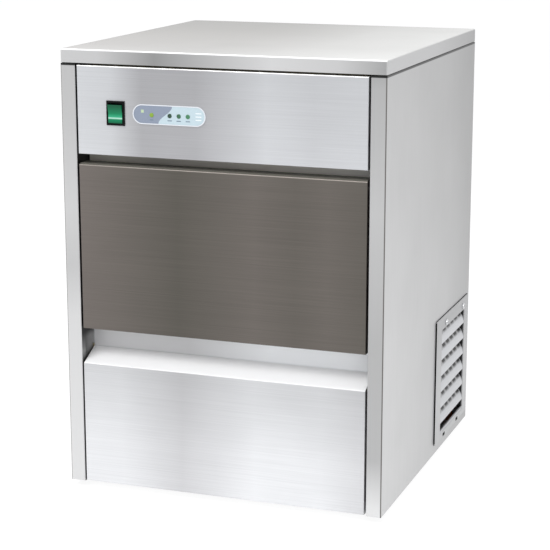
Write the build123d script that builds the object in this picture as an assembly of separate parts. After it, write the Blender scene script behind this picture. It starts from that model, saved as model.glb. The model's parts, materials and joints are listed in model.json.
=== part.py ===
"""Under-counter ice cube machine: a steel cabinet with a top-hinged bin door and finger evaporator."""

import os
from math import radians, sin, tan

from build123d import *

# Cabinet, outside
CABINET_WIDTH = 436.0
CABINET_DEPTH = 455.0
CABINET_HEIGHT = 590.0
FOOT_HEIGHT = 8.0
FOOT_RADIUS = 15.0
FOOT_INSET = 53.0
SHEET = 1.0
BEND = 1.8
LID_SKIRT = 17.7
LID_SHADOW_GAP = 1.0
PILLAR_WIDTH = 20.5
PILLAR_RETURN = 11.0
REAR_RETURN = 15.0
REAR_RECESS = 15.0
LID_SCREW_INSET = 68.0
LID_SCREW_RISE = 8.0
REAR_SCREW_INSET = 13.0
REAR_LOUVRE_ROWS = 9

# Front, from the lid down
PANEL_SIDE_GAP = 2.5
PANEL_TOP_GAP = 2.8
CONTROL_PANEL_HEIGHT = 114.5
CONTROL_PANEL_FOLD = 12.0
DOOR_TOP_GAP = 12.3
DOOR_HEIGHT = 221.0
DOOR_SIDE_GAP = 2.7
DOOR_DEPTH = 24.0
GRIP_HEIGHT = 47.7
GRIP_DEPTH = 34.0
GRIP_SLOPE_RISE = 15.5
GRIP_STRIP_OVERLAP = 9.0

# Bin, insulation and door seal
LINER_WALL = 2.5
FRAME_PLATE = 3.0
CHEEK_WALL = 2.5
MOUTH_SIDE_MARGIN = 26.8
MOUTH_SILL = 28.0
MOUTH_HEADROOM = 31.0
FRONT_INSULATION = 15.0
LOWER_REAR_INSULATION = 27.5
UPPER_REAR_INSULATION = 19.0
BIN_SIDE_INSULATION = 31.5
BIN_FLOOR_HEIGHT = 74.0
BIN_FLOOR_INSULATION = 23.5
BIN_REAR_SHELF = 250.0
SHELF_RISE = 75.0
CEILING_DROP = 42.0
FOAM_BELOW_WALL = 7.3
SUPPORT_RAIL_INSET = 98.0
SUPPORT_RAIL_WIDTH = 30.0
SENSOR_POCKET = (6.0, 40.0, 40.0)
SENSOR_ABOVE_MOUTH = 13.3
GASKET_WIDTH = 10.0
GASKET_CLEARANCE = 0.3
PLUG_MARGIN = 10.0
PLUG_DEPTH = 21.5

# Door hinge
PIVOT_BEHIND_FRONT = 18.0
PIVOT_BELOW_TOP = 14.0
HINGE_PIN_RADIUS = 3.0
RUNNING_CLEARANCE = 0.08

# Switch and display
SWITCH_INSET = 54.0
SWITCH_BELOW_PANEL_TOP = 59.5
SWITCH_CUTOUT = (22.0, 30.0)
SWITCH_BEZEL = (25.3, 31.6, 2.0)
ROCKER_SIZE = (19.2, 24.0)
ROCKER_TILT = 7.0
DISPLAY_FROM_SWITCH = 73.9
DISPLAY_SIZE = (99.6, 25.1)
DISPLAY_THICKNESS = 0.8
DISPLAY_RIM = 1.2
POWER_LAMP_FROM_DISPLAY = -23.8
STATUS_LAMP_FROM_DISPLAY = 1.0
STATUS_LAMP_PITCH = 12.4
LAMP_RADIUS = 2.9
BOARD_SIZE = (104.0, 34.0, 1.6)
BOARD_STANDOFF = 7.5

# Air grille on the right side
GRILLE_BEHIND = 10.0
GRILLE_WIDTH = 183.0
GRILLE_BOTTOM = 20.7
GRILLE_HEIGHT = 180.3
GRILLE_PLATE = 2.0
LOUVRE_BEHIND = 34.0
LOUVRE_WIDTH = 131.0
LOUVRE_BOTTOM = 26.0
LOUVRE_HEIGHT = 157.0
LOUVRE_COUNT = 6
BLADE_THICKNESS = 1.6
BLADE_REACH = 7.0
BLADE_BULGE = 1.4
BLADE_CORNER = 8.0
GRILLE_CHEEK = 1.2
GRILLE_RIBS = 5

# Machine compartment
MACHINE_DEPTH = 211.5
COMPRESSOR_FROM_SIDE = 108.0
COMPRESSOR_FROM_WALL = 104.0
COMPRESSOR_RADIUS = 60.0
COMPRESSOR_HEIGHT = 142.0
FOOT_PLATE = (152.0, 104.0, 3.5)
FOOT_PLATE_HOLES = (132.0, 84.0)
TERMINAL_COVER = (48.0, 22.0, 58.0)
TERMINAL_COVER_RISE = 50.0
SUCTION_RISE = 70.0
DISCHARGE_RISE = 54.0
CONDENSER_FROM_SIDE = 30.0
CONDENSER_THICKNESS = 32.0
CONDENSER_FROM_WALL = 42.0
CONDENSER_WIDTH = 134.0
CONDENSER_BOTTOM = 24.0
CONDENSER_HEIGHT = 164.0
CONDENSER_PASSES = 6
CONDENSER_FINS = 24
FAN_RADIUS = 66.0
FAN_TIP_CLEARANCE = 4.0
INLET_FROM_TRAY_END = 15.0
INLET_BELOW_SHELF = 46.0
INLET_THREAD_RADIUS = 13.22
DRAIN_X = 60.0
DRAIN_HEIGHT = 36.0
DRAIN_RADIUS = 10.0
DRAIN_BORE = 8.0
HOSE_HOLE_CLEARANCE = 1.2
GLAND_X = -5.0
GLAND_HEIGHT = 140.0
GLAND_BORE = 3.6
GLAND_BARREL = 7.8
ELECTRICAL_BOX = (72.0, 44.0, 90.0)
ELECTRICAL_WALL = 2.0
LINES_FROM_WALL = 17.0
LINES_BELOW_SHELF = 30.0
DRIER_RADIUS = 10.5
DRIER_LENGTH = 74.0
DRIER_RISE = 76.5
DRIER_FROM_COMPRESSOR = 110.0
VALVE_FROM_DRIER = 10.0
VALVE_RADIUS = 9.0
VALVE_HEIGHT = 20.0
VALVE_BELOW_LINES = 12.0
HOT_LINE_RADIUS = 3.5
COLD_LINE_RADIUS = 4.5
CAPILLARY_RADIUS = 2.5

# Ice maker
FINGERS_FROM_WALL = 52.0
FINGER_ROW_GAP = 30.0
FINGER_COUNT = 6
FINGER_PITCH = 30.0
FINGERS_FROM_BIN_SIDE = 78.0
FINGER_RADIUS = 7.5
FINGER_LENGTH = 44.0
EVAPORATOR_BELOW_CEILING = 43.0
EVAPORATOR_TUBE = 6.0
TRAY_MARGIN = 20.0
TRAY_DEPTH = 52.0
TRAY_WALL = 2.5
TRAY_BELOW_TUBES = 13.0
TRAY_PIVOT_RADIUS = 4.0
GEARBOX_THICKNESS = 16.0
GEARBOX_HALF_HEIGHT = 22.0
GEAR_MOTOR_LENGTH = 32.0
GEAR_MOTOR_RADIUS = 17.0

# Levels and faces that follow from the sizes above
front = -CABINET_DEPTH / 2
back = CABINET_DEPTH / 2
side = CABINET_WIDTH / 2
side_inner = side - SHEET
lid_bottom = CABINET_HEIGHT - LID_SKIRT
lid_inner = CABINET_HEIGHT - SHEET
wall_top = lid_bottom - LID_SHADOW_GAP
pillar_edge = side - PILLAR_WIDTH
panel_edge = pillar_edge - PANEL_SIDE_GAP
door_edge = pillar_edge - DOOR_SIDE_GAP
control_top = lid_bottom - PANEL_TOP_GAP
control_bottom = control_top - CONTROL_PANEL_HEIGHT
door_top = control_bottom - DOOR_TOP_GAP
door_bottom = door_top - DOOR_HEIGHT
door_back = front + DOOR_DEPTH
lower_top = door_bottom - GRIP_HEIGHT
lower_bottom = FOOT_HEIGHT + SHEET
strip_face = front + GRIP_DEPTH
strip_top = door_bottom + GRIP_STRIP_OVERLAP
frame_face = strip_face + SHEET
frame_back = frame_face + FRAME_PLATE
rear_plate = back - REAR_RECESS
base_floor = FOOT_HEIGHT + 1.5
base_front = front + 18.0
mouth_bottom = door_bottom + MOUTH_SILL
mouth_top = door_top - MOUTH_HEADROOM
mouth_half = door_edge - MOUTH_SIDE_MARGIN
pivot_y = front + PIVOT_BEHIND_FRONT
pivot_z = door_top - PIVOT_BELOW_TOP
cheek_inner = pillar_edge + SHEET
cheek_outer = cheek_inner + CHEEK_WALL
bin_half = side - SHEET - BIN_SIDE_INSULATION - LINER_WALL
bin_front = frame_back + FRONT_INSULATION + LINER_WALL
machine_wall = back - MACHINE_DEPTH
bin_rear = machine_wall - LOWER_REAR_INSULATION - LINER_WALL
bin_back_wall = rear_plate - SHEET - UPPER_REAR_INSULATION - LINER_WALL
bin_ceiling = CABINET_HEIGHT - CEILING_DROP
drain_y = bin_rear - 26.0
fill_tube_y = bin_back_wall - 6.0
foam_top = wall_top - FOAM_BELOW_WALL
foam_bottom = BIN_FLOOR_HEIGHT - LINER_WALL - BIN_FLOOR_INSULATION
shelf_foam_bottom = BIN_REAR_SHELF - 20.0
switch_x = SWITCH_INSET - panel_edge
switch_z = control_top - SWITCH_BELOW_PANEL_TOP
display_x = switch_x + DISPLAY_FROM_SWITCH
finger_first_x = FINGERS_FROM_BIN_SIDE - bin_half
finger_rows = (machine_wall + FINGERS_FROM_WALL, machine_wall + FINGERS_FROM_WALL + FINGER_ROW_GAP)
evaporator_z = bin_ceiling - EVAPORATOR_BELOW_CEILING
tray_front = finger_rows[0] - FINGER_RADIUS - TRAY_MARGIN - TRAY_WALL
tray_back = finger_rows[1] + FINGER_RADIUS + 14.0 + TRAY_WALL
tray_left = finger_first_x - TRAY_MARGIN
tray_right = finger_first_x + (FINGER_COUNT - 1) * FINGER_PITCH + 30.0
tray_top = evaporator_z - TRAY_BELOW_TUBES
inlet_x = tray_right - INLET_FROM_TRAY_END
tray_pivot_y = tray_back + 8.0
tray_pivot_z = tray_top + 3.0
compressor_x = COMPRESSOR_FROM_SIDE - side
compressor_y = machine_wall + COMPRESSOR_FROM_WALL
drier_x = compressor_x + DRIER_FROM_COMPRESSOR
valve_x = drier_x + VALVE_FROM_DRIER
shell_bottom = base_floor + 20.5
condenser_x = side - CONDENSER_FROM_SIDE
condenser_front = machine_wall + CONDENSER_FROM_WALL
fan_y = condenser_front + CONDENSER_WIDTH / 2
fan_z = CONDENSER_BOTTOM + CONDENSER_HEIGHT / 2
condenser_inner = condenser_x - CONDENSER_THICKNESS / 2 - 2.0
shroud_plate = condenser_inner - 2.0
duct_inner = FAN_RADIUS + FAN_TIP_CLEARANCE
duct_start = shroud_plate - 22.0
fan_front = duct_start + 2.0
fan_back = shroud_plate - 4.0
motor_front = fan_front - 12.0
motor_back = motor_front - 36.0
inlet_z = BIN_REAR_SHELF - INLET_BELOW_SHELF
lines_y = machine_wall + LINES_FROM_WALL
lines_z = BIN_REAR_SHELF - LINES_BELOW_SHELF
drier_bottom = base_floor + DRIER_RISE
valve_top = lines_z - VALVE_BELOW_LINES
valve_bottom = valve_top - VALVE_HEIGHT


def block(x0, x1, y0, y1, z0, z1):
    """A box given by its limits on each axis."""
    centre = Pos((x0 + x1) / 2, (y0 + y1) / 2, (z0 + z1) / 2)
    return centre * Box(abs(x1 - x0), abs(y1 - y0), abs(z1 - z0))


def rod_x(x0, x1, y, z, radius):
    return Pos((x0 + x1) / 2, y, z) * Rot(0, 90, 0) * Cylinder(radius, abs(x1 - x0))


def rod_y(y0, y1, x, z, radius):
    return Pos(x, (y0 + y1) / 2, z) * Rot(90, 0, 0) * Cylinder(radius, abs(y1 - y0))


def rod_z(z0, z1, x, y, radius):
    return Pos(x, y, (z0 + z1) / 2) * Cylinder(radius, abs(z1 - z0))


def prism_x(points, x0, x1, grow=0.0):
    """A polygon given in Y and Z, optionally grown outwards, drawn out along X."""
    face = make_face(Polyline(*points, close=True))
    if grow > 0:
        face = offset(face, amount=grow, kind=Kind.INTERSECTION)
    return Pos(x0, 0, 0) * extrude(Plane.YZ * face, amount=x1 - x0)


def folded_sheet(points, thickness):
    """A bent strip of sheet in plan, with the sheet on the left of the line."""
    line = FilletPolyline(*points, radius=BEND)
    skin = offset(line, amount=thickness, side=Side.LEFT)
    return make_face(skin.edges())


def both_sides(shape):
    """The shape and its mirror image about the middle of the cabinet."""
    return [shape, mirror(shape, Plane.YZ)]


def pipe(points, radius, bend):
    """A round rod that follows the points with rounded corners."""
    corners = [Vector(*point) for point in points]
    edges = []
    start = corners[0]
    for before, corner, after in zip(corners, corners[1:], corners[2:]):
        inward = (corner - before).normalized()
        onward = (after - corner).normalized()
        cut_back = bend * tan(radians(inward.get_angle(onward)) / 2)
        first = corner - inward * cut_back
        last = corner + onward * cut_back
        edges.append(Edge.make_line(start, first))
        edges.append(Edge.make_tangent_arc(first, inward, last))
        start = last
    edges.append(Edge.make_line(start, corners[-1]))
    section = Plane(origin=corners[0], z_dir=corners[1] - corners[0]) * Circle(radius)
    return sweep(section, path=Wire(edges))


def pan(x0, x1, y0, y1, z0, z1, rounding):
    """A shallow tray of sheet whose closed face looks to the front."""
    outer = block(x0, x1, y0, y1, z0, z1)
    outer = fillet(outer.faces().sort_by(Axis.Y)[0].edges(), rounding)
    return outer - block(x0 + SHEET, x1 - SHEET, y0 + SHEET, y1 + 1, z0 + SHEET, z1 - SHEET)


def side_panel():
    """Right side wall with the front pillar, the rear return and an upright lip for the lid."""
    outline = [
        (pillar_edge, front + PILLAR_RETURN),
        (pillar_edge, front),
        (side, front),
        (side, back),
        (side - REAR_RETURN, back),
    ]
    wall = Pos(0, 0, FOOT_HEIGHT) * extrude(folded_sheet(outline, SHEET), amount=wall_top - FOOT_HEIGHT)
    lip = block(side_inner - SHEET, side_inner, front + 4, rear_plate - SHEET, wall_top - 6, lid_inner)
    return wall + lip


def grille_limits():
    """Front, back, bottom and top of the grille plate."""
    end = back - GRILLE_BEHIND
    return end - GRILLE_WIDTH, end, GRILLE_BOTTOM, GRILLE_BOTTOM + GRILLE_HEIGHT


def louvre_limits():
    """Front, back, bottom and top of the opening that the blades fill."""
    end = back - LOUVRE_BEHIND
    return end - LOUVRE_WIDTH, end, LOUVRE_BOTTOM, LOUVRE_BOTTOM + LOUVRE_HEIGHT


def grille_screw_places():
    y0, y1, z0, z1 = louvre_limits()
    top = z1 + 7.0
    bottom = z0 - 2.7
    return [(y0 + 22, top), (y1 - 11, top)], [(y0 + 22, bottom), (y1 - 33, bottom)]


def side_panel_right():
    y0, y1, z0, z1 = louvre_limits()
    panel = side_panel() - block(side_inner - 1, side + 1, y0 - 2, y1 + 2, z0 + 4, z1 + 2)
    for y, z in grille_screw_places()[0]:
        panel -= rod_x(side_inner - 1, side + 1, y, z, 2.0)
    return panel


def base_pan():
    floor = block(-side_inner, side_inner, base_front, rear_plate - SHEET, FOOT_HEIGHT, base_floor)
    edge = base_floor + 12
    floor += block(-side_inner, side_inner, base_front, base_front + 1.2, FOOT_HEIGHT, edge)
    floor += block(-side_inner, side_inner, rear_plate - SHEET - 1.2, rear_plate - SHEET, FOOT_HEIGHT, edge)
    wall = block(side_inner - 1.2, side_inner, base_front, rear_plate - SHEET, FOOT_HEIGHT, edge)
    for part in both_sides(wall):
        floor += part
    for x, y in foot_places():
        floor -= rod_z(0, 20, x, y, 2.3)
    for x, z in rear_screw_places()[::2]:
        floor -= rod_y(rear_plate - 4, rear_plate, x, z, 2.1)
    return floor


def foot_places():
    across = side - FOOT_INSET
    return [(x, y) for x in (-across, across) for y in (front + FOOT_INSET, back - FOOT_INSET)]


def feet():
    """Low rubber feet, each with a stem through the base."""
    solids = []
    for x, y in foot_places():
        foot = rod_z(0, FOOT_HEIGHT, x, y, FOOT_RADIUS)
        foot = fillet(foot.edges().sort_by(Axis.Z)[0], 1.5)
        stem = rod_z(FOOT_HEIGHT, base_floor + 1, x, y, 2.2)
        solids.append(foot + stem + rod_z(base_floor, base_floor + 3, x, y, 5.0))
    return Compound(children=solids)


def rear_panel():
    """Recessed rear wall, so that the water and power connections don't stand out far."""
    plate = block(-side_inner, side_inner, rear_plate - SHEET, rear_plate, FOOT_HEIGHT, wall_top)
    flange = block(side_inner - SHEET, side_inner, rear_plate, back - 2 * SHEET, FOOT_HEIGHT, wall_top)
    for part in both_sides(flange):
        plate += part
    plate += block(-side_inner, side_inner, rear_plate, back - SHEET, wall_top - SHEET, wall_top)
    plate += block(-side_inner + 7, side_inner - 7, back - 2 * SHEET, back - SHEET, wall_top - SHEET, lid_inner)
    for x0 in (33.0 - side, 103.0 - side):
        for row in range(REAR_LOUVRE_ROWS):
            z = base_floor + 36.5 + 13.0 * row
            hood = [(rear_plate, z + 7), (rear_plate + 5, z + 1), (rear_plate + 4.3, z), (rear_plate, z + 5)]
            plate -= block(x0, x0 + 60, rear_plate - 2, rear_plate + 1, z, z + 5)
            plate += prism_x(hood, x0 - 1, x0 + 61)
    for x, z, radius in ((inlet_x, inlet_z, INLET_THREAD_RADIUS), (DRAIN_X, DRAIN_HEIGHT, DRAIN_RADIUS)):
        plate -= rod_y(rear_plate - 3, rear_plate + 1, x, z, radius + HOSE_HOLE_CLEARANCE)
    plate -= rod_y(rear_plate - 3, rear_plate + 1, GLAND_X, GLAND_HEIGHT, GLAND_BARREL + 0.2)
    for x, z in rear_screw_places():
        plate -= rod_y(rear_plate - 3, rear_plate + 1, x, z, 2.1)
    for x in lid_screw_places():
        plate -= rod_y(back - 3, back, x, lid_bottom + LID_SCREW_RISE, 1.9)
    return plate


def rear_screw_places():
    edge = side - REAR_SCREW_INSET
    return [(x, z) for x in (-edge, 0.0, edge) for z in (base_floor + 6, wall_top - 60)]


def lid_screw_places():
    edge = side - LID_SCREW_INSET
    return [-edge, 0.0, edge]


def round_screw(length, head, height, shank):
    """Round-headed screw with its head's seat at the origin, pointing down Z."""
    top = Cylinder(head, height, align=(Align.CENTER, Align.CENTER, Align.MIN))
    top = chamfer(top.edges().sort_by(Axis.Z)[-1], height * 0.45)
    top -= Pos(0, 0, height) * Box(head, head * 0.3, height * 0.7)
    top -= Pos(0, 0, height) * Box(head * 0.3, head, height * 0.7)
    return top + Cylinder(shank, length, align=(Align.CENTER, Align.CENTER, Align.MAX))


def rear_screws():
    screw = Rot(-90, 0, 0) * round_screw(5.0, 4.2, 2.4, 2.0)
    return Compound(children=[Pos(x, rear_plate, z) * screw for x, z in rear_screw_places()])


def lid_screws():
    """Screws through the rear skirt of the lid into the rear panel's upstand."""
    screw = Rot(-90, 0, 0) * round_screw(4.0, 4.0, 2.2, 1.8)
    return Compound(children=[Pos(x, back, lid_bottom + LID_SCREW_RISE) * screw for x in lid_screw_places()])


def top_panel():
    """Lid: a shallow pan turned upside down."""
    outer = block(-side, side, front, back, lid_bottom, CABINET_HEIGHT)
    outer = fillet(outer.edges().filter_by(Axis.Z), 3.0)
    outer = fillet(outer.faces().sort_by(Axis.Z)[-1].edges(), BEND)
    inner = block(-side_inner, side_inner, front + SHEET, back - SHEET, lid_bottom - 1, lid_inner)
    lid = outer - fillet(inner.edges().filter_by(Axis.Z), 2.0)
    for x in lid_screw_places():
        lid -= rod_y(back - 3, back + 1, x, lid_bottom + LID_SCREW_RISE, 1.9)
    return lid


def control_panel():
    panel = pan(-panel_edge, panel_edge, front, front + CONTROL_PANEL_FOLD, control_bottom, control_top, 0.9)
    across, high = SWITCH_CUTOUT
    panel -= block(switch_x - across / 2, switch_x + across / 2, front - 1, front + 2,
                   switch_z - high / 2, switch_z + high / 2)
    for x in lamp_places():
        panel -= rod_y(front - 1, front + 2, x, switch_z, LAMP_RADIUS + 0.2)
    return panel


def lamp_places():
    first = display_x + STATUS_LAMP_FROM_DISPLAY
    return [display_x + POWER_LAMP_FROM_DISPLAY] + [first + STATUS_LAMP_PITCH * place for place in range(3)]


def front_rails():
    """Two dark angle rails across the front that carry the control panel's folds."""
    reach = front + CONTROL_PANEL_FOLD
    low = block(-cheek_inner, cheek_inner, reach + 1.5, reach + 3, control_bottom + SHEET, control_bottom + 20)
    low += block(-panel_edge + 2, panel_edge - 2, front + 4, reach + 3, control_bottom + SHEET,
                 control_bottom + SHEET + 1.2)
    high = block(-cheek_inner, cheek_inner, reach + 1.5, reach + 3, control_top - 20, control_top - SHEET)
    high += block(-panel_edge + 2, panel_edge - 2, front + 4, reach + 3, control_top - SHEET - 1.2,
                  control_top - SHEET)
    return Compound(children=[low, high])


def lower_front_panel():
    """Lower front with the sloping finger grip and the strip that runs up behind the door."""
    outline = [
        (base_front, lower_bottom),
        (front, lower_bottom),
        (front, lower_top),
        (strip_face, lower_top + GRIP_SLOPE_RISE),
        (strip_face, strip_top),
    ]
    line = FilletPolyline(*outline, radius=BEND)
    skin = offset(line, amount=SHEET, side=Side.RIGHT)
    panel = Pos(-panel_edge, 0, 0) * extrude(Plane.YZ * make_face(skin.edges()), amount=2 * panel_edge)
    for flange in both_sides(block(panel_edge - SHEET, panel_edge, front + 0.5, front + 12, lower_bottom + 1.5,
                                   lower_top - 1)):
        panel += flange
    return panel


def front_frame():
    """Moulded collar round the bin mouth, with a cheek behind each pillar that holds a hinge bush."""
    collar = block(-side_inner + 2, side_inner - 2, frame_face, frame_back, lower_top + 18, control_bottom + 15)
    collar -= block(-mouth_half, mouth_half, frame_face - 1, frame_back + 1, mouth_bottom, mouth_top)
    cheek = block(cheek_inner, cheek_outer, front + PILLAR_RETURN, frame_face, lower_top - 2, wall_top - 5)
    cheek -= rod_x(cheek_inner - 1, cheek_outer + 1, pivot_y, pivot_z, HINGE_PIN_RADIUS + 2)
    for part in both_sides(cheek):
        collar += part
    return collar


def hinge_bushes():
    outer = HINGE_PIN_RADIUS + 2
    bush = rod_x(cheek_inner, cheek_outer, pivot_y, pivot_z, outer)
    bush += rod_x(cheek_outer, cheek_outer + 1.5, pivot_y, pivot_z, outer + 2.5)
    bush -= rod_x(cheek_inner - 1, cheek_outer + 3, pivot_y, pivot_z, HINGE_PIN_RADIUS + RUNNING_CLEARANCE)
    return Compound(children=both_sides(bush))


def bin_profile():
    """Inside of the bin in Y and Z: a deep front bin and a sloping shelf under the ice maker."""
    return [
        (bin_front, BIN_FLOOR_HEIGHT),
        (bin_rear, BIN_FLOOR_HEIGHT),
        (bin_rear, BIN_REAR_SHELF),
        (bin_back_wall, BIN_REAR_SHELF + SHELF_RISE),
        (bin_back_wall, bin_ceiling),
        (bin_front, bin_ceiling),
    ]


def mouth_block(extra, y0, y1):
    reach = mouth_half + extra
    return block(-reach, reach, y0, y1, mouth_bottom - extra, mouth_top + extra)


def liner_outside(top):
    """The liner's outer shape, drawn out up to the given level."""
    shape = prism_x(bin_profile(), -bin_half - LINER_WALL, bin_half + LINER_WALL, grow=LINER_WALL)
    shape -= block(-side, side, front, back, bin_ceiling, CABINET_HEIGHT)
    if top > bin_ceiling:
        shape += block(-bin_half - LINER_WALL, bin_half + LINER_WALL, bin_front - LINER_WALL,
                       bin_back_wall + LINER_WALL, bin_ceiling, top)
    return shape


def line_holes(extra):
    """Ways for the drain, the fill tube and the two refrigerant lines through the bin's walls."""
    holes = rod_z(foam_bottom - 5, BIN_FLOOR_HEIGHT + 1, DRAIN_X, drain_y, DRAIN_RADIUS + extra)
    low = BIN_REAR_SHELF - LINES_BELOW_SHELF
    high = BIN_REAR_SHELF + SHELF_RISE + 100
    holes += rod_z(low, high, inlet_x, fill_tube_y, HOT_LINE_RADIUS + extra)
    for x, y in (suction_drop(), supply_drop()):
        holes += rod_z(low, high, x, y, COLD_LINE_RADIUS + extra)
    return holes


def bin_liner():
    liner = liner_outside(bin_ceiling) + mouth_block(LINER_WALL, frame_back, bin_front)
    liner -= prism_x(bin_profile(), -bin_half, bin_half)
    liner -= mouth_block(0, frame_back - 1, bin_front + 1)
    return liner - line_holes(0.2)


def foam_outline():
    """Outside of the insulation in Y and Z, above and in front of the machine compartment."""
    rise = SHELF_RISE * 0.85
    return [
        (frame_back, foam_bottom),
        (machine_wall, foam_bottom),
        (machine_wall, shelf_foam_bottom),
        (rear_plate - SHEET, shelf_foam_bottom + rise),
        (rear_plate - SHEET, foam_top),
        (frame_back, foam_top),
    ]


def bin_insulation():
    """Rigid foam boards between the liner and the cabinet, cut from one body along the liner's faces."""
    foam = prism_x(foam_outline(), -side_inner, side_inner)
    foam -= liner_outside(foam_top + 1)
    foam -= mouth_block(LINER_WALL, frame_back - 1, bin_front)
    for x, z in rear_screw_places()[1::2]:
        foam -= rod_y(rear_plate - 8, rear_plate, x, z, 2.1)
    foam -= line_holes(0.6)
    boards = []
    for room in insulation_rooms():
        boards += (foam & room).solids()
    return Compound(children=boards)


def insulation_rooms():
    """The stretches that the boards fill: two to a side, four round the mouth, a floor, a shelf and a rear."""
    end = rear_plate
    bin_side = bin_half + LINER_WALL
    front_wall = bin_front - LINER_WALL
    inner_rear = bin_rear + LINER_WALL
    inner_back = bin_back_wall + LINER_WALL
    floor_top = BIN_FLOOR_HEIGHT - LINER_WALL
    mouth_side = mouth_half + LINER_WALL
    mouth_low = mouth_bottom - LINER_WALL
    mouth_high = mouth_top + LINER_WALL
    shelf_top = BIN_REAR_SHELF + SHELF_RISE
    rooms = [
        block(-bin_side, bin_side, frame_back, machine_wall, foam_bottom, floor_top),
        block(-bin_side, bin_side, frame_back, front_wall, floor_top, mouth_low),
        block(-bin_side, bin_side, frame_back, front_wall, mouth_high, foam_top),
        block(-bin_side, bin_side, inner_rear, machine_wall, floor_top, shelf_foam_bottom),
        block(-bin_side, bin_side, inner_rear, end, shelf_foam_bottom, shelf_top),
        block(-bin_side, bin_side, inner_back, end, shelf_top, foam_top),
    ]
    rooms += both_sides(block(mouth_side, bin_side, frame_back, front_wall, mouth_low, mouth_high))
    rooms += both_sides(block(bin_side, side, frame_back, machine_wall, foam_bottom, foam_top))
    rooms += both_sides(block(bin_side, side, machine_wall, end, foam_bottom, foam_top))
    return rooms


def front_insulation():
    """Foam block behind the lower front panel, under the finger grip."""
    reach = cheek_inner - 6
    return block(-reach, reach, front + 4, frame_back, foam_bottom, lower_top - 4)


def bin_support_rails():
    """Two channels, open below, that carry the bin on the base."""
    right = side - SUPPORT_RAIL_INSET + SUPPORT_RAIL_WIDTH / 2
    left = right - SUPPORT_RAIL_WIDTH
    wall = 1.5
    rail = block(left, right, base_front + 12, machine_wall - 4, base_floor, foam_bottom)
    rail -= block(left + wall, right - wall, base_front, machine_wall, base_floor - 1, foam_bottom - wall)
    return Compound(children=both_sides(rail))


def top_insulation():
    """Insulated cover over the ice maker, resting on the liner's rim and on the foam."""
    fit = LINER_WALL - 0.2
    plug = block(-bin_half - fit, bin_half + fit, bin_front - fit, bin_back_wall + fit, bin_ceiling, foam_top)
    slab = block(18 - side, side - 18, frame_back + 4, rear_plate - 8, foam_top, lid_inner - 7)
    return plug + slab


def bin_sensor():
    """Thermostat pocket on the bin's left wall that stops the machine when ice reaches it."""
    thick, across, high = SENSOR_POCKET
    z = mouth_top + SENSOR_ABOVE_MOUTH
    y = bin_rear - 36
    pocket = block(-bin_half, thick - bin_half, y - across / 2, y + across / 2, z - high / 2, z + high / 2)
    return pocket + rod_y(y - across * 0.75, y + across * 0.75, thick + 4 - bin_half, z, 5)


def door_outer_panel():
    panel = pan(-door_edge, door_edge, front, door_back, door_bottom, door_top - 1.5, 0.9)
    for side_hole in both_sides(rod_x(door_edge - 3, door_edge + 1, pivot_y, pivot_z, HINGE_PIN_RADIUS + 0.2)):
        panel -= side_hole
    return panel


def door_top_cap():
    """Dark plastic strip along the door's upper edge."""
    return block(-door_edge + 0.4, door_edge - 0.4, front + 3, door_back - 0.5, door_top - 1.5, door_top)


def plug_limits(inset):
    half = mouth_half - PLUG_MARGIN + inset
    return -half, half, mouth_bottom + PLUG_MARGIN + 2 - inset, mouth_top - PLUG_MARGIN + inset


def door_inner_liner():
    """Inner door skin with a hollow plug that enters the bin's mouth."""
    skin = block(-door_edge + 0.8, door_edge - 0.8, door_back, door_back + 2, door_bottom + 0.8, door_top - 2.3)
    x0, x1, z0, z1 = plug_limits(0)
    plug = block(x0, x1, door_back, door_back + PLUG_DEPTH, z0, z1)
    plug = fillet(plug.edges().filter_by(Axis.Y), 14)
    plug = fillet(plug.faces().sort_by(Axis.Y)[-1].edges(), 4)
    return skin + plug - door_plug_core()


def door_plug_core():
    x0, x1, z0, z1 = plug_limits(-2)
    core = block(x0, x1, door_back - 1, door_back + PLUG_DEPTH - 2, z0, z1)
    return fillet(core.edges().filter_by(Axis.Y), 12)


def door_foam():
    foam = block(-door_edge + SHEET, door_edge - SHEET, front + SHEET, door_back, door_bottom + SHEET,
                 door_top - 1.5 - SHEET)
    core = door_plug_core()
    core -= block(-door_edge, door_edge, door_back - 2, door_back, door_bottom, door_top)
    foam += core
    for room in both_sides(hinge_block_limits()):
        foam -= room
    return foam


def hinge_block_limits():
    return block(door_edge - SHEET - 18, door_edge - SHEET, pivot_y - 9, door_back, pivot_z - 9, pivot_z + 9)


def door_hinge_blocks():
    piece = hinge_block_limits() - rod_x(door_edge - 25, door_edge + 1, pivot_y, pivot_z, HINGE_PIN_RADIUS)
    return Compound(children=both_sides(piece))


def door_hinge_pins():
    pin = rod_x(door_edge - SHEET - 18, cheek_outer + 1.5, pivot_y, pivot_z, HINGE_PIN_RADIUS)
    pin = chamfer(pin.edges().sort_by(Axis.X)[-1], 0.6)
    return Compound(children=both_sides(pin))


def door_gasket():
    """Sealing ring on the inner door skin: a flat foot and a narrower lip."""
    half = mouth_half + 2
    inside = (half, mouth_bottom - 2, min(mouth_top + 2, pivot_z - GASKET_WIDTH - 0.7))
    start = door_back + 2
    end = frame_face - GASKET_CLEARANCE
    foot = ring(inside, 0, GASKET_WIDTH, start, start + 3)
    return foot + ring(inside, 2, GASKET_WIDTH - 2, start + 3, end)


def ring(inside, near, far, y0, y1):
    """A rectangular ring round an opening, between two distances from its edge."""
    half, low, high = inside
    outer = block(-half - far, half + far, y0, y1, low - far, high + far)
    outer = fillet(outer.edges().filter_by(Axis.Y), 8)
    inner = block(-half - near, half + near, y0 - 1, y1 + 1, low - near, high + near)
    return outer - fillet(inner.edges().filter_by(Axis.Y), 4)


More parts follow.
